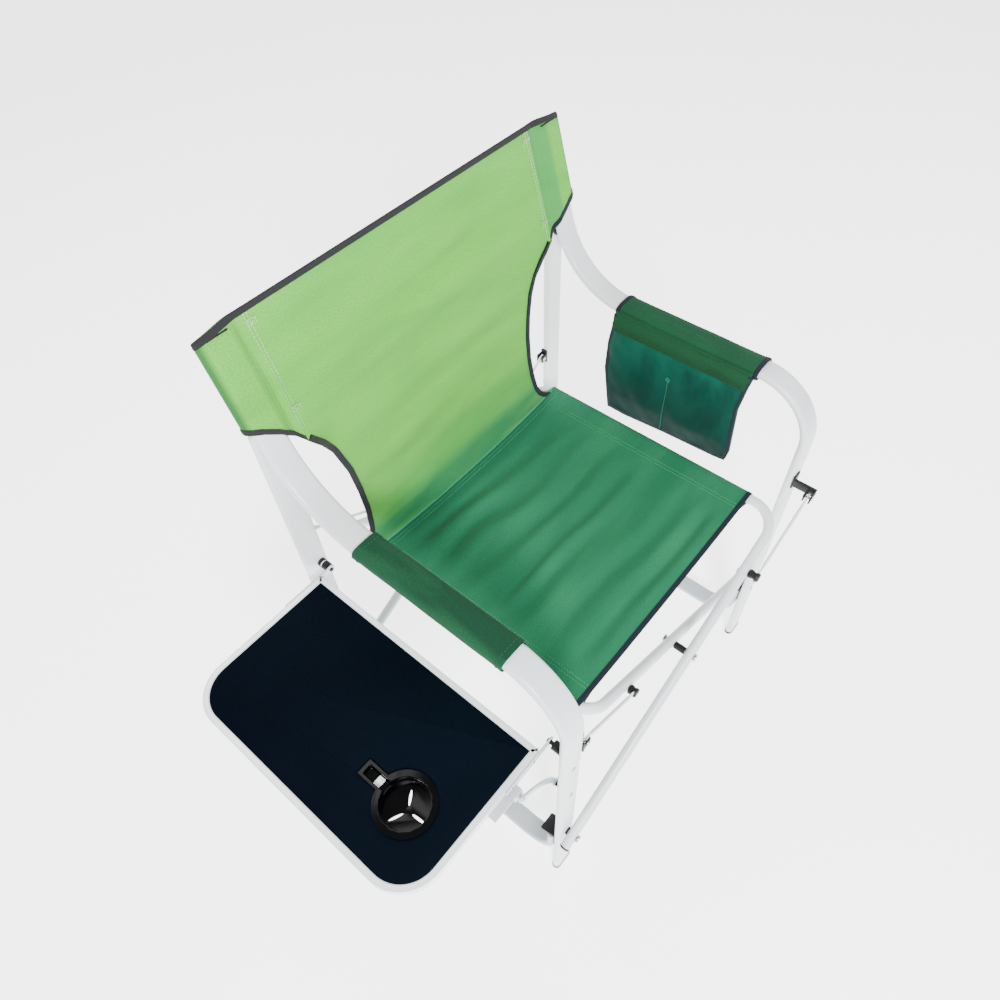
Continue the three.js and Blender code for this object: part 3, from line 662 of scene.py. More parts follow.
def make_side_frame(side_name, side):
    body, x = f"{side_name}_side", side * SIDE
    arm = oval_disc(TUBE_WIDE, TUBE_THICK, at(x, -LEG, FOOT_TOP), Z)
    draw_tube([(at(x, -LEG, FOOT_TOP), 0), (at(x, -LEG, ARM_Z), FRONT_BEND),
               (at(x, UPRIGHT_FOOT, ARM_Z), REAR_BEND), (at(x, *UPRIGHT_TOP), 0)], 16)
    tidy_mesh()
    put_down()
    done(arm, f"arm_and_front_leg_{side_name}", WHITE, "tube_white", body, [f"arm_tube_{side_name}"])

    top = 772.0
    leg = oval_disc(TUBE_WIDE, TUBE_THICK, at(x, LEG, FOOT_TOP), Z)
    draw_out(mm((0, 0, top - FOOT_TOP - 4)))
    for rise, shrink in ((2.2, 0.94), (1.2, 0.86), (0.5, 0.8)):
        draw_out(mm((0, 0, rise)))
        bpy.ops.transform.resize(value=((1 + shrink) / 2, shrink, 1), center_override=at(x, LEG, top))
    tidy_mesh()
    put_down()
    done(leg, f"straight_rear_leg_{side_name}", WHITE, "tube_white", body, [f"rear_leg_{side_name}"])

    rail = oval_disc(TUBE_WIDE - 4, TUBE_THICK - 1, at(x, -226, 150), NEARLY_DOWN)
    draw_tube([(at(x, -226, 150), 0), (at(x, -226, 48), 62), (at(x, 226, 48), 62), (at(x, 226, 150), 0)], 12)
    tidy_mesh()
    put_down()
    done(rail, f"bowed_lower_rail_{side_name}", RAIL_WHITE_PAINTED_SHADOW, "tube_white", body, [f"lower_rail_{side_name}"])

    # rounded cap in the top of the upright
    tilt = Vector((0, LEAN, 1)).normalized()
    top = at(x, *UPRIGHT_TOP)
    cap = oval_disc(TUBE_WIDE, TUBE_THICK, top + tilt * 0.0003, tilt)
    draw_out(tilt * 0.003)
    for rise, shrink in ((1.2, 0.9), (0.6, 0.75)):
        draw_out(tilt * rise / 1000)
        bpy.ops.transform.resize(value=((2 + shrink) / 3, shrink, shrink), center_override=top + tilt * 0.004)
    tidy_mesh()
    put_down()
    done(cap, f"upright_cap_{side_name}", BLACK, "black_plastic", body, [f"upright_plug_{side_name}"])

    low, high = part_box(f"leg_joint_{side_name}")
    turned(f"leg_top_spacer_{side_name}", Vector(((low.x + high.x) / 2, low.y, (low.z + high.z) / 2)), Y,
           [(8.2, 0), (9, 0.8), (9, (high.y - low.y) * 500), (9, (high.y - low.y) * 1000 - 0.8),
            (8.2, (high.y - low.y) * 1000)], BLACK, "black_plastic", body, [f"leg_joint_{side_name}"])
    rivet(f"leg_top_rivet_{side_name}", at(x, LEG + TUBE_THICK / 2, 748), Y, body)

    for end_name, end in ENDS:
        foot = oval_disc(TUBE_WIDE + 1.2, TUBE_THICK + 1.2, at(x, end * LEG, 0), Z)
        draw_out(mm((0, 0, 1.2)))
        bpy.ops.transform.resize(value=(1.02, 1.05, 1), center_override=at(x, end * LEG, 1.2))
        draw_out(mm((0, 0, FOOT_TOP - 2.2)))
        tidy_mesh()
        put_down()
        round_edges(foot, 0.7, 2, 50)
        done(foot, f"foot_tip_{end_name}_{side_name}", BLACK, "black_plastic", body,
             [f"foot_plug_{end_name}_{side_name}"])
        dressed(f"rail_wedge_{end_name}_{side_name}", f"rail_connector_{end_name}_{side_name}",
                BLACK, "black_plastic", body, 1.2)
        rivet(f"rail_rivet_{end_name}_{side_name}", at(x, end * (LEG + TUBE_THICK / 2), 160), Y * end, body)


def rivet(name, place, direction, body, radius=4.2):
    """A domed rivet head that sits on a face."""
    return turned(name, place, direction, [(radius * 0.8, -1.0), (radius, 0.05), (radius * 0.93, 0.7),
                                           (radius * 0.7, 1.3), (radius * 0.35, 1.65)],
                  PLATED, "bolt_steel", body, (), 20, 0)


for side_name, side in SIDES:
    make_side_frame(side_name, side)
for z in (467, 363):
    rivet(f"leg_rivet_right_{z}", at(-SIDE, -LEG - TUBE_THICK / 2, z), -Y, "right_side")
rivet("leg_rivet_left_491", at(SIDE, -LEG - TUBE_THICK / 2, 491), -Y, "left_side")

# ---------------------------------------------------------------- seat frames
LEG_RUN = math.hypot(SIDE, CROSS_Z - PIVOT_Z)
LEG_WAY = (SIDE / LEG_RUN, (CROSS_Z - PIVOT_Z) / LEG_RUN)
TAIL = 22.0


def make_seat_frame(name, side, body):
    front = -OUTER_Y if side > 0 else -INNER_Y
    rear = INNER_Y if side > 0 else OUTER_Y
    tail_x, tail_z = -side * (SIDE + TAIL * LEG_WAY[0]), PIVOT_Z - TAIL * LEG_WAY[1]
    way = Vector((side * LEG_WAY[0], 0, LEG_WAY[1]))
    tube = disc(FRAME_R / 1000, 24, at(tail_x, front, tail_z), way)
    draw_tube([(at(tail_x, front, tail_z), 0), (at(side * RAIL_X, front, RAIL_Z), 42),
               (at(side * RAIL_X, rear, RAIL_Z), 42), (at(tail_x, rear, tail_z), 0)], 12)
    tidy_mesh()
    put_down()
    done(tube, f"{name}_tube", WHITE, "tube_white", body, [name])
    for end_name, y in (("front", front), ("rear", rear)):
        turned(f"{name}_tip_{end_name}", at(tail_x, y, tail_z), -way,
               [(FRAME_R - 0.6, -0.5), (FRAME_R + 0.3, -0.2), (FRAME_R + 0.3, 2.0), (FRAME_R - 0.8, 3.0),
                (4.5, 3.5)], BLACK, "black_plastic", body, (), 28, 0)


make_seat_frame("seat_frame_a", 1, "frame_a")
make_seat_frame("seat_frame_b", -1, "frame_b")


# ---------------------------------------------------------------- bolts
def bolt_profile(deep):
    """A domed head at each end of a bolt, this many millimetres from end to end, and its shank between."""
    head = [(3.2, 0), (5.4, 0.2), (6, 1.0), (6, 3.2), (3, 3.3)]
    return head + [(radius, deep - place) for radius, place in reversed(head)]


def make_bolts():
    for side_name, side in SIDES:
        for end_name, end in ENDS:
            node = f"pivot_bolt_{end_name}_{side_name}"
            low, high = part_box(node)
            deep = (high.y - low.y) * 1000
            outside = side * end > 0
            # both heads, and the black spacer between the leg and the frame tube
            turned(f"lower_pivot_{end_name}_{side_name}",
                   Vector((middle_of(node).x, low.y, middle_of(node).z)), Y,
                   bolt_profile(deep), PLATED, "bolt_steel", f"{side_name}_side", [node], 28, 0)
            near = LEG + 6.8 if outside else LEG - 6.8
            far = OUTER_Y - FRAME_STEP if outside else INNER_Y + FRAME_STEP
            first, last = sorted((end * near, end * far))
            turned(f"pivot_spacer_{end_name}_{side_name}", at(side * SIDE, first, PIVOT_Z), Y,
                   [(6.0, 0), (6.6, 0.5), (6.6, last - first - 0.5), (6.0, last - first)],
                   BLACK, "black_plastic", f"{side_name}_side", (), 28, 0)
    for end_name, end in ENDS:
        node = f"cross_bolt_{end_name}"
        low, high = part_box(node)
        deep = (high.y - low.y) * 1000
        turned(f"crossing_pin_{end_name}", Vector((middle_of(node).x, low.y, middle_of(node).z)), Y,
               bolt_profile(deep), PLATED, "bolt_steel", "frame_a", [node], 28, 0)
        first, last = sorted((end * (INNER_Y + FRAME_STEP), end * (OUTER_Y - FRAME_STEP)))
        turned(f"crossing_spacer_{end_name}", at(0, first, CROSS_Z), Y,
               [(5.4, 0), (6.0, 0.5), (6.0, last - first - 0.5), (5.4, last - first)],
               BLACK, "black_plastic", "frame_a", (), 28, 0)


make_bolts()

# ---------------------------------------------------------------- stays
STAY_X, STAY_Z, STAY_REACH, STAY_OUT = 262.0, 497.0, 156.0, 280.0
STAY_FOOT = (STAY_REACH * LEG_WAY[0], CROSS_Z + STAY_REACH * LEG_WAY[1])


def make_stay(side_name, side, end_name, end):
    """A rod pressed flat at both ends, its bracket on the leg and its knob on the frame tube."""
    outer = side * end < 0
    y = end * (STAY_OUT if outer else LEG)
    body = f"stay_{end_name}_{side_name}"
    top, foot = at(side * STAY_X, y, STAY_Z), at(side * STAY_FOOT[0], y, STAY_FOOT[1])
    way = (foot - top).normalized()
    length = (foot - top).length * 1000
    side_way = way.cross(Y).normalized()
    rod = disc(0.0025, 20, top - way * 0.006, way)
    # (distance, half width across, half thickness along Y)
    shapes = [(-6, 2.5, 1.2), (-4.6, 5.0, 1.4), (0, 6.2, 1.5), (6, 5.9, 1.5), (14, 3.8, 2.0), (21, 2.5, 2.5),
              (length - 24, 2.5, 2.5), (length - 17, 3.8, 2.0), (length - 12, 5.2, 1.6),
              (length - 7.5, 5.2, 1.5)]
    turn = Matrix((side_way, Y, way)).transposed()
    before = (2.5, 2.5)
    for i, (distance, wide, thick) in enumerate(shapes):
        if i:
            draw_out(way * (distance - shapes[i - 1][0]) / 1000)
        bpy.ops.transform.resize(value=(wide / before[0], thick / before[1], 1), orient_type="GLOBAL",
                                 orient_matrix=turn.transposed(), orient_matrix_type="GLOBAL",
                                 center_override=top + way * distance / 1000)
        before = (wide, thick)
    tidy_mesh()
    put_down()
    done(rod, f"flattened_stay_{end_name}_{side_name}", WHITE, "tube_white", body,
         [f"stay_{end_name}_{side_name}"])
    low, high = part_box(f"stay_knob_{end_name}_{side_name}")
    deep = (high.y - low.y) * 1000
    turned(f"stay_knob_round_{end_name}_{side_name}", Vector((foot.x, low.y, foot.z)), Y,
           [(4, 0), (6.6, 0.4), (7.2, 1.2), (7.2, deep * 0.35), (6, deep * 0.42), (6, deep * 0.58),
            (7.2, deep * 0.65), (7.2, deep - 1.2), (6.6, deep - 0.4), (4, deep)],
           BLACK, "black_plastic", body, [f"stay_knob_{end_name}_{side_name}"], 28, 0)
    dressed(f"stay_clevis_{end_name}_{side_name}", f"stay_bracket_{end_name}_{side_name}",
            BLACK, "black_plastic", f"{side_name}_side", 0.7)
    turned(f"stay_pin_{end_name}_{side_name}", top - Y * 0.0078, Y,
           [(2.2, 0), (3.4, 0.3), (3.8, 1.2), (2, 1.3), (2, 14.3), (3.8, 14.4), (3.4, 15.3), (2.2, 15.6)],
           PLATED, "bolt_steel", f"{side_name}_side", (), 20, 0)


for side_name, side in SIDES:
    for end_name, end in ENDS:
        make_stay(side_name, side, end_name, end)

# ---------------------------------------------------------------- side table
TABLE_IN, TABLE_OUT, TABLE_FRONT, TABLE_REAR = -304.0, -548.0, -203.0, 211.0
TABLE_TOP, RIM_DEEP, RIM_WIDE, CORNER = 486.0, 15.0, 8.0, 58.0
HINGE = (-285.0, 479.0)
CUP = (-460.0, -118.0)


def table_blank(inset, z):
    """The table's outline as one face: square at the chair, round at its outer corners."""
    put_down()
    wide, deep = TABLE_IN - TABLE_OUT - 2 * inset, TABLE_REAR - TABLE_FRONT - 2 * inset
    centre = at((TABLE_IN + TABLE_OUT) / 2, (TABLE_FRONT + TABLE_REAR) / 2, z)
    bpy.ops.mesh.primitive_plane_add(size=1, location=centre)
    piece = bpy.context.object
    piece.scale = (wide / 1000, deep / 1000, 1)
    set_in_place()
    bpy.ops.object.mode_set(mode="EDIT")
    pick(lambda p: p.x < centre.x)
    bpy.ops.mesh.bevel(affect="VERTICES", offset=(CORNER - inset) / 1000, segments=14, profile=0.5)
    pick(lambda p: p.x > centre.x)
    bpy.ops.mesh.bevel(affect="VERTICES", offset=max(4.0 - inset, 1.0) / 1000, segments=4, profile=0.5)
    bpy.ops.mesh.select_all(action="SELECT")
    return piece


def combine(piece, tool, operation):
    """Joins the tool to the piece or cuts it out, and clears the tool away."""
    press(piece, "BOOLEAN", operation=operation, object=tool, solver="EXACT")
    bpy.data.objects.remove(tool)


def cut_away(piece, tool):
    combine(piece, tool, "DIFFERENCE")


def keyhole(radius, notch_half, notch_end, low, high):
    """A round well joined to a slot for a mug's handle, as one solid."""
    piece = disc(radius / 1000, 64, at(*CUP, low), Z)
    draw_out(mm((0, 0, high - low)))
    tidy_mesh()
    put_down()
    bpy.ops.mesh.primitive_cube_add(size=1, location=at(CUP[0], CUP[1] + notch_end / 2, (low + high) / 2))
    slot = bpy.context.object
    slot.scale = mm((2 * notch_half, notch_end, high - low))
    set_in_place()
    press(slot, "BEVEL", width=0.003, segments=4, limit_method="ANGLE", angle_limit=math.radians(60))
    combine(piece, slot, "UNION")
    return piece


def make_table():
    rim = table_blank(0, TABLE_TOP - RIM_DEEP)
    bpy.ops.mesh.inset(thickness=RIM_WIDE / 1000, use_boundary=True)
    bpy.ops.mesh.delete(type="FACE")
    bpy.ops.mesh.select_all(action="SELECT")
    draw_out(mm((0, 0, RIM_DEEP)))
    tidy_mesh()
    put_down()
    # the channel's rolled edges
    round_edges(rim, 1.6, 3, 60)
    done(rim, "channel_rim", SILVER, "edge_silver", "table", ["table_rim"])

    board = table_blank(RIM_WIDE - 1.5, TABLE_TOP - 10.5)
    draw_out(mm((0, 0, 9.0)))
    tidy_mesh()
    put_down()
    cut_away(board, keyhole(35.6, 10.6, 70.5, 400, 600))
    round_edges(board, 0.5, 2, 60)
    done(board, "laminate_board", LAMINATE, "board_black", "table", ["table_board"], 30)

    # a black bead where the laminate meets the channel
    bead = table_blank(RIM_WIDE - 0.4, TABLE_TOP - 1.7)
    bpy.ops.mesh.inset(thickness=0.0011, use_boundary=True)
    bpy.ops.mesh.delete(type="FACE")
    bpy.ops.mesh.select_all(action="SELECT")
    draw_out(mm((0, 0, 0.9)))
    tidy_mesh()
    put_down()
    done(bead, "rim_bead", STAMPED, "edge_silver", "table")

    make_cup()
    for end_name, end in ENDS:
        dressed(f"hinge_plate_{end_name}", f"table_bracket_{end_name}", STAMPED, "edge_silver", "table", 0.5)
        face = end * (abs(TABLE_FRONT if end < 0 else TABLE_REAR) + 0.3 + 2.5)
        for x in (-320, -362):
            rivet(f"hinge_rivet_{end_name}_{-x}", at(x, face, HINGE[1]), Y * end, "table", 3.4)
    for end_name, end in ENDS:
        low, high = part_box(f"table_bolt_{end_name}")
        deep = (high.y - low.y) * 1000
        face = low.y if end > 0 else high.y
        centre = Vector((middle_of(f"table_bolt_{end_name}").x, face, middle_of(f"table_bolt_{end_name}").z))
        stack = [(2.9, 0), (2.9, deep * 0.3), (7.2, deep * 0.31), (7.2, deep - 8.7), (5, deep - 8.6),
                 (5, deep - 5.6), (7.2, deep - 5.5), (7.2, deep - 0.2), (6.4, deep)]
        turned(f"hinge_spacers_{end_name}", centre, Y * end, stack, BLACK, "black_plastic", "right_side",
               [f"table_bolt_{end_name}"], 28, 0)
        turned(f"hinge_washer_{end_name}", centre + Y * end * (deep - 8.5) / 1000, Y * end,
               [(6.0, 0), (6.4, 0.4), (6.4, 2.4), (6.0, 2.8)], WHITE, "tube_white", "right_side", (), 28, 0)
    dressed("folding_brace_strap", "brace_strap", STAMPED, "edge_silver", "brace", 0.5)
    dressed("folding_brace_plate", "brace_plate", STAMPED, "edge_silver", "table", 0.5)
    dressed("folding_brace_peg", "brace_peg", BLACK, "black_plastic", "right_side", 0.5)


def make_cup():
    top, floor = TABLE_TOP + 0.2, TABLE_TOP - 32.0
    flange = keyhole(41.5, 12, 73, top - 1.2, top + 0.9)
    tub = keyhole(35, 10, 70, floor, top + 1)
    combine(flange, tub, "UNION")
    cut_away(flange, keyhole(32.5, 7.5, 67.5, top - 10, top + 20))
    well = disc(0.0325, 64, at(*CUP, floor + 2.5), Z)
    draw_out(mm((0, 0, 60)))
    tidy_mesh()
    put_down()
    cut_away(flange, well)
    bpy.ops.mesh.primitive_cube_add(size=1, location=at(CUP[0], CUP[1] + 36 + 50, floor + 9.5))
    block = bpy.context.object
    block.scale = mm((80, 100, 21))
    set_in_place()
    cut_away(flange, block)
    for degrees in (35, 155, 275):
        way = Vector((math.cos(math.radians(degrees)), math.sin(math.radians(degrees)), 0))
        petal = disc(0.0018, 24, at(*CUP, floor - 5), Z)
        bpy.ops.transform.resize(value=(5.6, 1, 1), center_override=at(*CUP, floor - 5))
        bpy.ops.transform.rotate(value=math.radians(-degrees), orient_axis="Z",
                                 center_override=at(*CUP, floor - 5))
        bpy.ops.transform.translate(value=way * 0.0165)
        draw_out(mm((0, 0, 15)))
        tidy_mesh()
        put_down()
        cut_away(flange, petal)
    round_edges(flange, 0.45, 2, 40)
    done(flange, "mug_well", GLOSS, "cup_black", "table", ["cup_holder"], 32)
    # the ridge that runs round the well below its lip
    ridge = disc(0.0325, 64, at(*CUP, top - 9), Z)
    bpy.ops.mesh.inset(thickness=0.0016, use_boundary=True)
    bpy.ops.mesh.delete(type="FACE")
    bpy.ops.mesh.select_all(action="SELECT")
    draw_out(mm((0, 0, 1.2)))
    tidy_mesh()
    put_down()
    round_edges(ridge, 0.4, 2, 60)
    done(ridge, "mug_well_ridge", GLOSS, "cup_black", "table")
    clip = disc(0.001, 4, at(CUP[0], CUP[1] + 46, top - 8.6), Z, math.radians(45))
    bpy.ops.transform.resize(value=(9, 7, 1), center_override=at(CUP[0], CUP[1] + 46, top - 8.6))
    draw_out(mm((0, 0, 1.4)))
    tidy_mesh()
    put_down()
    round_edges(clip, 0.4, 2, 60)
    done(clip, "slot_clip", SILVER, "edge_silver", "table")


make_table()

# ---------------------------------------------------------------- seat cloth
SEAT_FRONT, CREASE = -206.0, 188.0
WRAP = FRAME_R + 1.3            # rail radius with the cloth on it
STITCH_X = 198.0                # the sewn line that closes each rail sleeve
SLEEVE_END = 150.0


def folds(a, b, seed):
    """Soft tension folds: long in a, short in b. Returns about -1 to 1."""
    return (noise.noise(Vector((a * 1.6 + seed, b * 17.0, seed * 1.3)))
            + 0.55 * noise.noise(Vector((a * 3.1 - seed, b * 38.0, seed * 2.1))))


def seat_level(x, y):
    """Height of the seat cloth's top at a point, in mm."""
    reach = abs(x) / (RAIL_X - 4)
    if reach >= 1.0:
        out = abs(x) - RAIL_X
        return RAIL_Z + math.sqrt(max(WRAP ** 2 - out ** 2, 0.0))
    back = ease((y - 110.0) / (CREASE - 110.0))
    sag = 7.5 + 5.0 * back + 2.0 * math.sin((y + 200) / 390 * math.pi)
    level = RAIL_Z + WRAP - 0.7 - sag * (1 - reach ** 2.4)
    taut = (1 - ease((abs(x) - 130.0) / 62)) * ease((y - SEAT_FRONT) / 26) * ease((CREASE - 12 - y) / 40)
    drift = (0.34 * noise.noise(Vector((x / 170, y / 95, 3.0)))
             + 0.2 * noise.noise(Vector((x / 400, 8.0, y / 40))))
    strength = 0.75 + 0.55 * noise.noise(Vector((x / 240, y / 120, 21.0)))
    ripple = math.sin(2 * math.pi * (y / 50 + drift + x / 2600))
    return level + taut * (4.0 * strength * ripple + 1.6 * folds(x / 1000, y / 1000, 3.0))


def seat_point(u, v):
    y = SEAT_FRONT + (CREASE - SEAT_FRONT) * v
    s = 2 * u - 1
    edge = 0.94
    if abs(s) > edge:
        angle = math.pi / 2 * (abs(s) - edge) / (1 - edge)
        x = RAIL_X - 4 + (4 + WRAP) * math.sin(angle)
        z = RAIL_Z + WRAP * math.cos(math.asin(min(max((x - RAIL_X) / WRAP, -1), 1))) if x > RAIL_X else None
        x *= math.copysign(1, s)
        return at(x, y, z if z is not None else seat_level(x, y))
    x = s / edge * (RAIL_X - 4)
    return at(x, y, seat_level(x, y))


def make_seat():
    top = sheet_mesh("seat_cloth", 110, 96, seat_point, (500, 394))
    thicken(top, 1.1)
    done(top, "seat_cloth", SEAT_CANVAS, "seat_green", None, ["seat_panel"], 60)

    def under(side):
        def shape(u, v):
            y = SEAT_FRONT + (SLEEVE_END - SEAT_FRONT) * v
            if u < 0.62:
                angle = u / 0.62 * math.radians(118)
                return at(side * (RAIL_X + WRAP * math.cos(angle)), y, RAIL_Z - WRAP * math.sin(angle))
            t = (u - 0.62) / 0.38
            angle = math.radians(118)
            x0, z0 = RAIL_X + WRAP * math.cos(angle), RAIL_Z - WRAP * math.sin(angle)
            x1, z1 = STITCH_X - 3, seat_level(STITCH_X - 3, y) - 1.4
            return at(side * (x0 + (x1 - x0) * t), y, z0 + (z1 - z0) * t)
        return shape

    for side_name, side, body in (("left", 1, "frame_a"), ("right", -1, "frame_b")):
        flap = sheet_mesh(f"rail_sleeve_{side_name}", 26, 40, under(side), (52, 356))
        thicken(flap, 1.1)
        done(flap, f"rail_sleeve_{side_name}", SEAT_CANVAS, "seat_green", body, (), 60)

    lines = []
    for side in (1, -1):
        for row in (STITCH_X, STITCH_X - 6):
            lines.append([(at(side * row, y, seat_level(side * row, y) + 0.55), Z)
                          for y in range(-198, 152, 6)])
    hem = CREASE - 16.0
    lines.append([(at(x, hem, seat_level(x, hem) + 0.55), Z) for x in range(-226, 227, 6)])
    seams = stitched("seat_stitching", lines, "seat_green")

    xs = [s * 2.0 for s in range(-118, 119)]
    edge = [at(x, SEAT_FRONT, seat_level(x, SEAT_FRONT) if abs(x) < RAIL_X else
               RAIL_Z + math.sqrt(max(WRAP ** 2 - (abs(x) - RAIL_X) ** 2, 0))) for x in xs]
    front = bound_edge("seat_front_binding", edge, [Y] * len(xs), [Z] * len(xs), NAVY_TAPE, "binding_navy",
                       7.0, 3.0)

    # the two sewn ridges of the crease; the front one is lighter, a painted highlight
    ridges = []
    for n, (y, wide, tall) in enumerate(((CREASE - 4.0, 3.4, 5.0), (CREASE - 10.5, 2.6, 2.8))):
        line = [at(x, y, seat_level(x, y)) for x in range(-222, 223, 6)]
        ridges.append(bound_edge(f"crease_ridge_{n}", line, [Y] * len(line), [Z] * len(line),
                                 RIDGE_CANVAS_PAINTED_HIGHLIGHT if n == 0 else SEAT_CANVAS, "seat_green", wide, tall))
    ridge = one_piece(ridges, "seat_crease_ridges")
    soft = [top, seams, front, ridge]
    for piece in soft:
        at(190, 0, RAIL_Z)
        at(-190, 0, RAIL_Z)
        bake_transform(piece)


make_seat()

# ---------------------------------------------------------------- back cloth
BACK_TOP, SEAM_X = 919.0, 251.0
# the middle of the cloth leaves the crease here, and at the bend it reaches the line of the uprights
BACK_FOOT_Y, BACK_FOOT_Z, BEND = 184.0, 470.0, 772.0
# half width of the cloth at each height, from the crease to the sleeves; the sling sits a little to the right
OUTLINES = {
    -1: [(462, 238), (468, 237), (480, 230), (495, 222), (525, 213), (560, 209), (600, 209), (643, 212),
         (690, 223), (716, 236), (737, 251), (752, 262), (770, 280), (784, 300), (794, 320)],
    1: [(462, 238), (468, 236), (476, 222), (486, 205), (498, 193), (515, 185), (545, 180), (580, 178),
        (620, 181), (657, 188), (690, 199), (713, 212), (735, 230), (752, 251), (764, 262), (778, 280),
        (790, 300), (798, 320)],
}


def half_width(side, z):
    return along_points(OUTLINES[side], z)


def back_y(z):
    if z >= BEND:
        return upright_y(z)
    return BACK_FOOT_Y + (upright_y(BEND) - BACK_FOOT_Y) * ((z - BACK_FOOT_Z) / (BEND - BACK_FOOT_Z))


def back_point_at(x, z):
    """A point of the back cloth, with its sag and folds."""
    side = 1 if x > 0 else -1
    across = min(abs(x) / min(half_width(side, z), SEAM_X), 1.0)
    rise = min(max((z - BACK_FOOT_Z) / (BACK_TOP - BACK_FOOT_Z), 0.0), 1.0)
    belly = 9.0 * (1 - across ** 2.2) * math.sin(math.pi * rise ** 0.8)
    upper = 0.35 + 0.65 * ease((z - 640.0) / 150.0)
    inner = (1 - across ** 5) * ease((BACK_TOP - z) / 22)
    drift = (0.4 * noise.noise(Vector((x / 210, z / 120, 5.0)))
             + 0.25 * noise.noise(Vector((x / 90, 3.0, z / 200))))
    strength = 0.8 + 0.7 * noise.noise(Vector((x / 190, z / 90, 31.0)))
    ripple = math.sin(2 * math.pi * (z / 66 + drift - x / 1500))
    mottle = noise.noise(Vector((x / 34, z / 26, 12.0))) * (1 - upper)
    pull = inner * (4.3 * upper * strength * ripple + 1.8 * folds(x / 1000, z / 1000, 7.0) + 1.1 * mottle)
    seam = ease((abs(x) - 205.0) / 46) * ease((z - 690.0) / 40)
    base = back_y(z) + (upright_y(z) - back_y(z)) * seam
    return at(x, base + belly + pull, z)


def back_point(u, v):
    s = 2 * u - 1
    z_low = 471.0
    z = z_low + (BACK_TOP - z_low) * v
    x = s * min(half_width(1 if s > 0 else -1, z), SEAM_X)
    # the bottom edge follows the crease of the seat, tucked just under its top
    low = seat_level(x, CREASE) - 2.6 - z_low
    z += low * (1 - ease(v, 0.0, 0.12))
    return back_point_at(x, z)


def squashed(piece):
    """Carries a piece on the right side, with a mesh of its own."""
    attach(piece, "right_side")
    at(-SEAM_X, 0, 0)
    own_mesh(piece)


def along_upright(x, b, z):
    """A point beside the upright, x from the centre plane and b off the tube's middle, at height z."""
    tilt = Vector((0, LEAN, 1)).normalized()
    off = Vector((0, tilt.z, -tilt.y))
    return at(x, upright_y(z), z) + off * b / 1000


# the cloth's way round the upright, from the seam and back: (from the centre plane, off the tube's middle)
SLEEVE_LOOP = [(251, -0.7), (256, 0.4), (261, 0.6), (266, -1.8), (270, -5.4), (275, -8.2), (283, -8.9),
               (292, -9.0), (302, -8.8), (309, -7.8), (314, -5.6), (317.6, -2.4), (317.6, 2.4), (314, 5.6),
               (309, 7.8), (302, 8.8), (292, 9.0), (283, 8.8), (275, 8.2), (268, 6.0), (262, 3.6),
               (256, 2.0), (251, 1.2)]


def cut_height(side, half):
    """Height of the cut-out's edge at a half width, on the sleeves."""
    return along_points([(h, z) for z, h in OUTLINES[side] if h >= 250], half)


def make_back():
    main = sheet_mesh("back_cloth", 96, 120, back_point, (502, 445))
    thicken(main, 1.1)
    done(main, "back_cloth", BACK_CANVAS, "back_green", None, ["back_panel"], 60)

    lines = []
    # stitch rows beside the sleeves
    for side in (1, -1):
        for row in (SEAM_X - 0.6, SEAM_X - 5.0):
            lines.append([(back_point_at(side * row, z) - Y * 0.0007, -Y) for z in range(756, 914, 5)])
        for z in (898, 782):
            lines += bar_tack(back_point_at(side * (SEAM_X - 6), z) - Y * 0.0007, -Y, Z, 12)
    seams = stitched("back_stitching", lines, "back_green")

    # top binding between the sleeves
    xs = [s * 4.05 for s in range(-63, 64)]
    line = [back_point_at(x, BACK_TOP) for x in xs]
    down = Vector((0, -LEAN, -1)).normalized()
    normal = Vector((0, -1, LEAN)).normalized()
    top = bound_edge("back_top_binding", line, [down] * len(xs), [normal] * len(xs), GREY_TAPE,
                     "binding_navy", 7.6, 3.2)

    pieces = [top]
    for side in (1, -1):
        edge, inward, normals = [], [], []
        high = cut_height(side, SEAM_X)
        for z in [468 + (high - 468) * i / 76 for i in range(77)]:
            half, next_half = half_width(side, z), half_width(side, z + 2)
            edge.append(back_point_at(side * half, z))
            tangent = Vector((next_half - half, 0, 2)).normalized()
            inward.append(Vector((-side * tangent.z, 0, tangent.x)).normalized())
            normals.append(-Y)
        name = "left" if side > 0 else "right"
        pieces.append(bound_edge(f"cut_out_binding_{name}", edge, inward, normals, CUT_TAPE[side],
                                 "binding_navy", 8.6, 3.4))
    for piece in [main, seams, *pieces]:
        squashed(piece)

    for side_name, side in SIDES:
        make_back_sleeve(side_name, side)


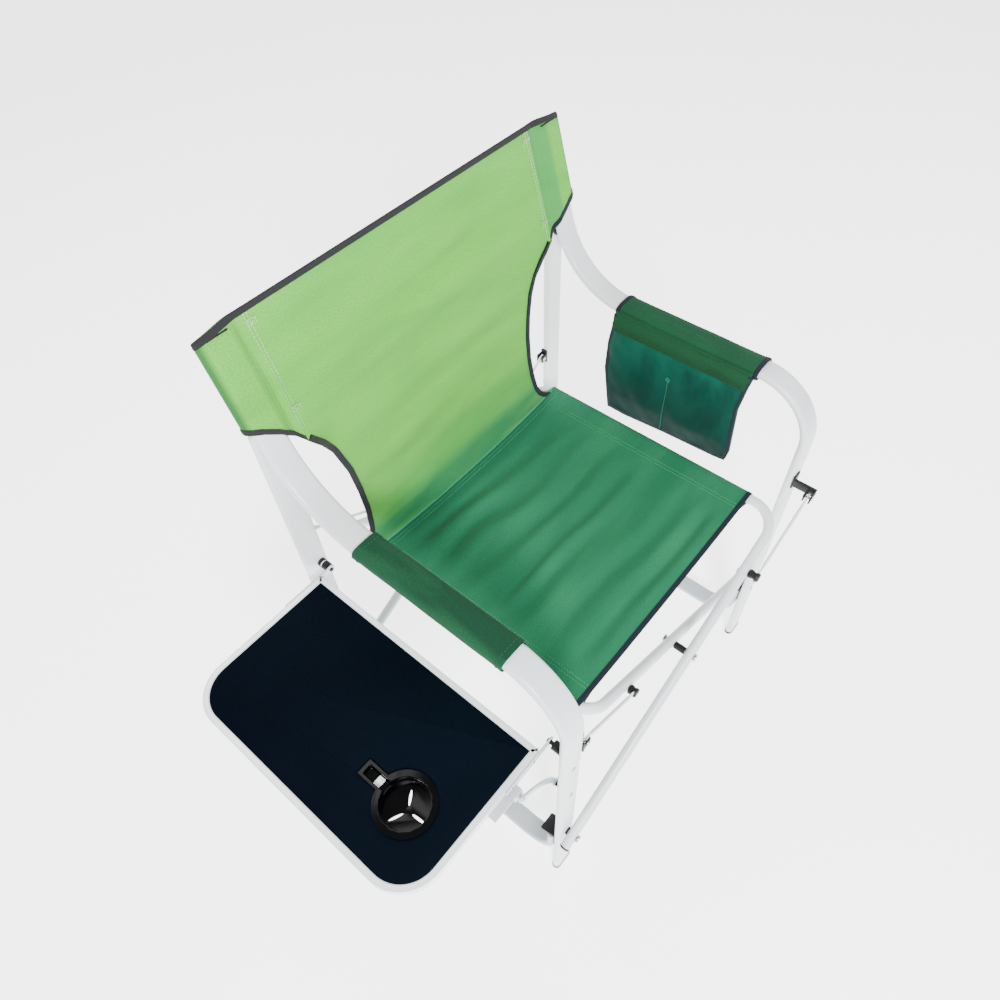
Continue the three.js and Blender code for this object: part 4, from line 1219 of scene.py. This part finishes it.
def make_back_sleeve(side_name, side):
    loop = SLEEVE_LOOP

    def shape(u, v):
        place = u * (len(loop) - 1)
        i = min(int(place), len(loop) - 2)
        t = place - i
        x = loop[i][0] + (loop[i + 1][0] - loop[i][0]) * t
        b = loop[i][1] + (loop[i + 1][1] - loop[i][1]) * t
        low = cut_height(side, x)
        # the top droops a little towards the outer corner, and is pinched nearly shut above the tube
        high = BACK_TOP - 6.0 * ease((x - 262) / 55)
        z = low + (high - low) * v
        b *= 1 - 0.86 * ease((z - 902) / 13)
        slack = 0.8 * noise.noise(Vector((x / 40 * side, z / 45, 9.0 if b < 0 else 15.0)))
        loose = ease((300 - x) / 45) * (1 - ease((256 - x) / 6))
        return along_upright(side * x, b + slack * loose * (1 if b > 0 else -1) * 1.6, z)

    body = f"{side_name}_side"
    sleeve = sheet_mesh(f"upright_sleeve_{side_name}", 84, 40, shape, (136, 132))
    thicken(sleeve, 1.1)
    done(sleeve, f"upright_sleeve_{side_name}", SLEEVE_CANVAS_WITH_PAINTED_SHADE, "back_green", body,
         [f"back_sleeve_{side_name}"], 60)
    tapes = []
    for which, finish, name in ((1, GREY_TAPE, "top"), (0, CUT_TAPE[side], "low")):
        count = 90
        edge = [shape(i / count, which) for i in range(count + 1)]
        inner = [shape(i / count, 0.9 if which else 0.08) for i in range(count + 1)]
        inward = [(b - a).normalized() for a, b in zip(edge, inner)]
        normals = []
        for i in range(count + 1):
            a, b = edge[max(i - 1, 0)], edge[min(i + 1, count)]
            normals.append((b - a).cross(inward[i]).normalized())
        tapes.append(bound_edge(f"sleeve_{name}_binding_{side_name}", edge, inward, normals, finish,
                                "binding_navy", 7.6 if which else 8.6, 3.2))
    for piece in tapes:
        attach(piece, body)


make_back()


# ---------------------------------------------------------------- arm sleeves
def arm_loop(angle, half, thick, seed, y):
    """A flat-oval loop round the arm tube, slack underneath."""
    c, s = math.cos(angle), math.sin(angle)
    x = half * math.copysign(abs(c) ** 0.62, c)
    z = thick * math.copysign(abs(s) ** 0.8, s)
    slack = noise.noise(Vector((math.cos(angle) * 1.5 + seed, y / 46, math.sin(angle) * 1.5)))
    if s < 0:
        z -= 1.6 * (1 + slack) * (-s)
    return x + 0.5 * slack * c, z + 0.5 * slack * abs(s)


def arm_path(y):
    """Height and slope of the arm tube's middle line at a depth."""
    start = -LEG + FRONT_BEND
    if y < start:
        drop = FRONT_BEND - math.sqrt(max(FRONT_BEND ** 2 - (start - y) ** 2, 0))
        return ARM_Z - drop
    return ARM_Z


def make_arm_sleeve(side_name, side, front, rear):
    body, x0 = f"{side_name}_side", side * SIDE

    def shape(u, v):
        y = rear + (front - rear) * v
        swell = 0.5 * math.exp(-((y - rear) / 9) ** 2) + 0.5 * math.exp(-((y - front) / 9) ** 2)
        x, z = arm_loop(u * 2 * math.pi, 21.4 + swell, 8.9 + swell, side * 3.0, y)
        return at(x0 + x, y, arm_path(y) + z)

    sleeve = sheet_mesh(f"arm_wrap_{side_name}", 72, 70, shape, (108, rear - front), True)
    thicken(sleeve, 1.2)
    done(sleeve, f"arm_wrap_{side_name}", ARM_CANVAS, "arm_green", body, [f"arm_sleeve_{side_name}"], 60)

    def ring(v, push):
        points = []
        for i in range(61):
            u = i / 60
            p = shape(u, v)
            out = (p - at(x0, p.y * 1000, arm_path(p.y * 1000))).normalized()
            points.append((p + out * push / 1000, out))
        return points

    extra = []
    hems = [0.035, 0.965]
    extra.append(stitched(f"arm_wrap_hem_{side_name}", [ring(v, 0.6) for v in hems], "arm_green",
                          DARK_THREAD))
    seam = []
    for i in range(60):
        p = shape(0.735, 0.03 + 0.94 * i / 59)
        seam.append((p - Z * 0.0006, -Z))
    extra.append(stitched(f"arm_wrap_seam_{side_name}", [seam], "arm_green", DARK_THREAD))
    if side > 0:
        for label, v, way in (("front", 1.0, 1), ("rear", 0.0, -1)):
            points = ring(v, 0.0)
            extra.append(bound_edge(f"arm_wrap_binding_{label}", [p for p, _ in points], [Y * way] * 61,
                                    [n for _, n in points], NAVY_TAPE, "binding_navy", 6.5, 3.0))
    for piece in extra:
        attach(piece, body)


make_arm_sleeve("right", -1, -156.0, 84.0)
make_arm_sleeve("left", 1, -148.0, 98.0)

# ---------------------------------------------------------------- arm pocket
POCKET_X, POCKET_TOP = 267.4, 663.0
# rear edge, front edge and bottom of the pocket as (y, z) points
REAR_EDGE = [(462, 93), (500, 99), (549, 106), (606, 104), (640, 99), (662, 98)]
FRONT_EDGE = [(476, -136), (500, -140), (592, -135), (640, -141), (662, -145)]
BOTTOM = [(-138, 480), (-120, 477), (-21, 471), (60, 463), (95, 464)]
DIVIDER_Y = -14.0


def pocket_spot(u, v):
    """Depth and height of a point of the pocket's outline, u to the rear and v up."""
    y = -138 + 233 * u
    low = along_points(BOTTOM, y)
    z = low + (POCKET_TOP - low) * v
    front, rear = along_points(FRONT_EDGE, z), along_points(REAR_EDGE, z)
    return front + (rear - front) * u, z


def make_pocket():
    def back(u, v):
        y, z = pocket_spot(u, v)
        return at(POCKET_X + 1.6 + 0.8 * noise.noise(Vector((y / 50, z / 60, 1))), y, z)

    def bulge(y, z, v):
        across = (y - DIVIDER_Y) / (118 if y > DIVIDER_Y else 124) * 2
        half = 1 - abs(across - math.copysign(1, y - DIVIDER_Y)) ** 2.2
        open_up = ease(v, 0.0, 0.25)
        crease = noise.noise(Vector((y / 55 + z / 90, z / 70 - y / 160, 5.0)))
        fine = noise.noise(Vector((y / 24 - z / 60, z / 36, 8.0)))
        return -max(half, 0) * (3.0 + 2.0 * open_up) * open_up + 2.6 * crease + 1.1 * fine

    def front(u, v):
        y, z = pocket_spot(u, v * 0.93)
        edge = min(ease(u, 0, 0.06), ease(1 - u, 0, 0.06), ease(v, 0, 0.08), 0.2 + 0.8 * ease(1 - v, 0, 0.12))
        return at(POCKET_X - 3.4 + bulge(y, z, v) * edge, y, z)

    def strip(u, v):
        y, z = pocket_spot(0.012 + 0.976 * u, 0.87 + 0.15 * v)
        ripple = 0.5 * noise.noise(Vector((y / 40, 2, z / 30)))
        return at(POCKET_X - 8.6 + 7.4 * ease(v, 0.35, 1.0) + ripple, y, z + 3.0 * v)

    made = []
    for name, shape, finish, slot, nodes, cols, rows, flat in (
            ("pocket_back_cloth", back, NYLON, "pocket_teal", ["pocket_back_panel"], 60, 50, (240, 192)),
            ("pocket_front_cloth", front, NYLON, "pocket_teal", ["pocket_front_panel"], 110, 84, (240, 180)),
            ("pocket_top_strip", strip, STRIP_CANVAS, "arm_green", (), 90, 10, (236, 34))):
        piece = sheet_mesh(name, cols, rows, shape, flat)
        thicken(piece, 0.8)
        done(piece, name, finish, slot, "left_side", nodes, 60)
        made.append((piece, flat))

    edge, inward = [], []
    count = 40
    for i in range(count + 1):
        y, z = pocket_spot(1.0, 1.0 - i / count)
        edge.append(at(POCKET_X - 1.0, y, z))
        inward.append(-Y)
    for i in range(1, 7):
        angle = i / 7 * math.pi / 2
        y, z = pocket_spot(1.0, 0.0)
        edge.append(at(POCKET_X - 1.0, y - 5 * (1 - math.cos(angle)), z - 3 * math.sin(angle) * 0.4))
        inward.append((-Y * math.cos(angle) + Z * math.sin(angle)).normalized())
    for i in range(1, count + 1):
        y, z = pocket_spot(0.98 - 0.96 * i / count, 0.0)
        edge.append(at(POCKET_X - 1.0, y, z - 0.6))
        inward.append(Z.copy())
    for i in range(1, 7):
        angle = i / 7 * math.pi / 2
        y, z = pocket_spot(0.0, 0.0)
        edge.append(at(POCKET_X - 1.0, y + 5 * (1 - math.sin(angle)), z + 0.4 + 1.4 * i / 7))
        inward.append((Z * math.cos(angle) + Y * math.sin(angle)).normalized())
    for i in range(1, count + 1):
        y, z = pocket_spot(0.0, i / count)
        edge.append(at(POCKET_X - 1.0, y, z + 1))
        inward.append(Y.copy())
    normals = [-X] * len(edge)
    border = bound_edge("pocket_border_tape", edge, inward, normals, NAVY_TAPE, "binding_navy", 7.0, 6.2)
    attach(border, "left_side")
    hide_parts("pocket_binding")

    def on_front(y, z):
        low = along_points(BOTTOM, y)
        v = (z - low) / (POCKET_TOP - low) / 0.93
        front_y, rear_y = along_points(FRONT_EDGE, z), along_points(REAR_EDGE, z)
        return front((y - front_y) / (rear_y - front_y), v)

    lines = [[(on_front(DIVIDER_Y, z) - X * 0.0006, -X) for z in range(476, 589, 4)]]
    lines += bar_tack(on_front(DIVIDER_Y, 588) - X * 0.0006, -X, Z, 7)
    sewn = stitched("pocket_divider_stitching", lines, "pocket_teal", TEAL_THREAD)
    rows = []
    for v in (0.12, 0.30, 0.86):
        rows.append([(strip(0.02 + 0.96 * i / 80, v) - X * 0.0005, -X) for i in range(81)])
    hem = stitched("pocket_strip_stitching", rows, "arm_green", STRIP_CANVAS)
    for piece in (sewn, hem):
        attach(piece, "left_side")
    for (piece, flat), extra in zip(made, ([], [sewn, border], [hem])):
        flat[0] / 1000
        flat[1] / 1000
        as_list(extra)


make_pocket()


# ---------------------------------------------------------------- studio
def make_studio():
    put_down()
    bpy.ops.mesh.primitive_plane_add(size=14, location=(0, 0, -0.0005))
    floor = bpy.context.object
    floor.name = "studio_floor"
    paint = Paint("pale studio floor", specular_ior_level=0.1)
    grain = paint.speckle(paint.place(), 3.0, 2.0)
    paint.to("Base Color", paint.mix(grain * 0.2, (0.97, 0.97, 0.97), (0.95, 0.95, 0.95)))
    paint.surface.inputs["Roughness"].default_value = 0.9
    paint.surface.inputs["Emission Color"].default_value = (1.0, 1.0, 1.0, 1.0)
    paint.surface.inputs["Emission Strength"].default_value = 2.5
    floor.data.materials.append(paint.material)
    world = bpy.data.worlds.new("studio")
    world.use_nodes = True
    world.node_tree.nodes["Background"].inputs[0].default_value = (0.97, 0.985, 1.0, 1)
    world.node_tree.nodes["Background"].inputs[1].default_value = 0.68
    bpy.context.scene.world = world
    for name, place, aim, size, power in (
            ("key_light", (-1.5, -1.7, 2.2), (0.0, 0.0, 0.45), 0.8, 190),
            ("fill_light", (2.4, -1.2, 2.2), (0.1, 0.0, 0.4), 2.4, 45),
            ("top_light", (0.2, 1.6, 2.8), (0.1, 0.0, 0.5), 2.0, 60)):
        lamp = bpy.data.lights.new(name, "AREA")
        lamp.shape, lamp.size, lamp.energy = "DISK", size, power
        holder = bpy.data.objects.new(name, lamp)
        bpy.context.scene.collection.objects.link(holder)
        holder.location = place
        holder.rotation_euler = (Vector(aim) - Vector(place)).to_track_quat("-Z", "Y").to_euler()


def make_camera():
    azimuth, elevation, roll = math.radians(-46.886), math.radians(52.032), math.radians(-3.703)
    right = Vector((math.cos(azimuth), math.sin(azimuth), 0))
    back = Vector((math.sin(azimuth) * math.cos(elevation), -math.cos(azimuth) * math.cos(elevation),
                   math.sin(elevation)))
    up = back.cross(right)
    r2 = math.cos(roll) * right + math.sin(roll) * up
    u2 = -math.sin(roll) * right + math.cos(roll) * up
    lens = bpy.data.cameras.new("studio_camera")
    lens.lens, lens.sensor_width = 27.74, 36.0
    holder = bpy.data.objects.new("studio_camera", lens)
    bpy.context.scene.collection.objects.link(holder)
    turn = Matrix((r2, u2, back)).transposed().to_4x4()
    holder.matrix_world = Matrix.Translation((MIDDLE - 0.57779, -0.41910, 1.44749)) @ turn
    bpy.context.scene.camera = holder


make_studio()
make_camera()
put_down()
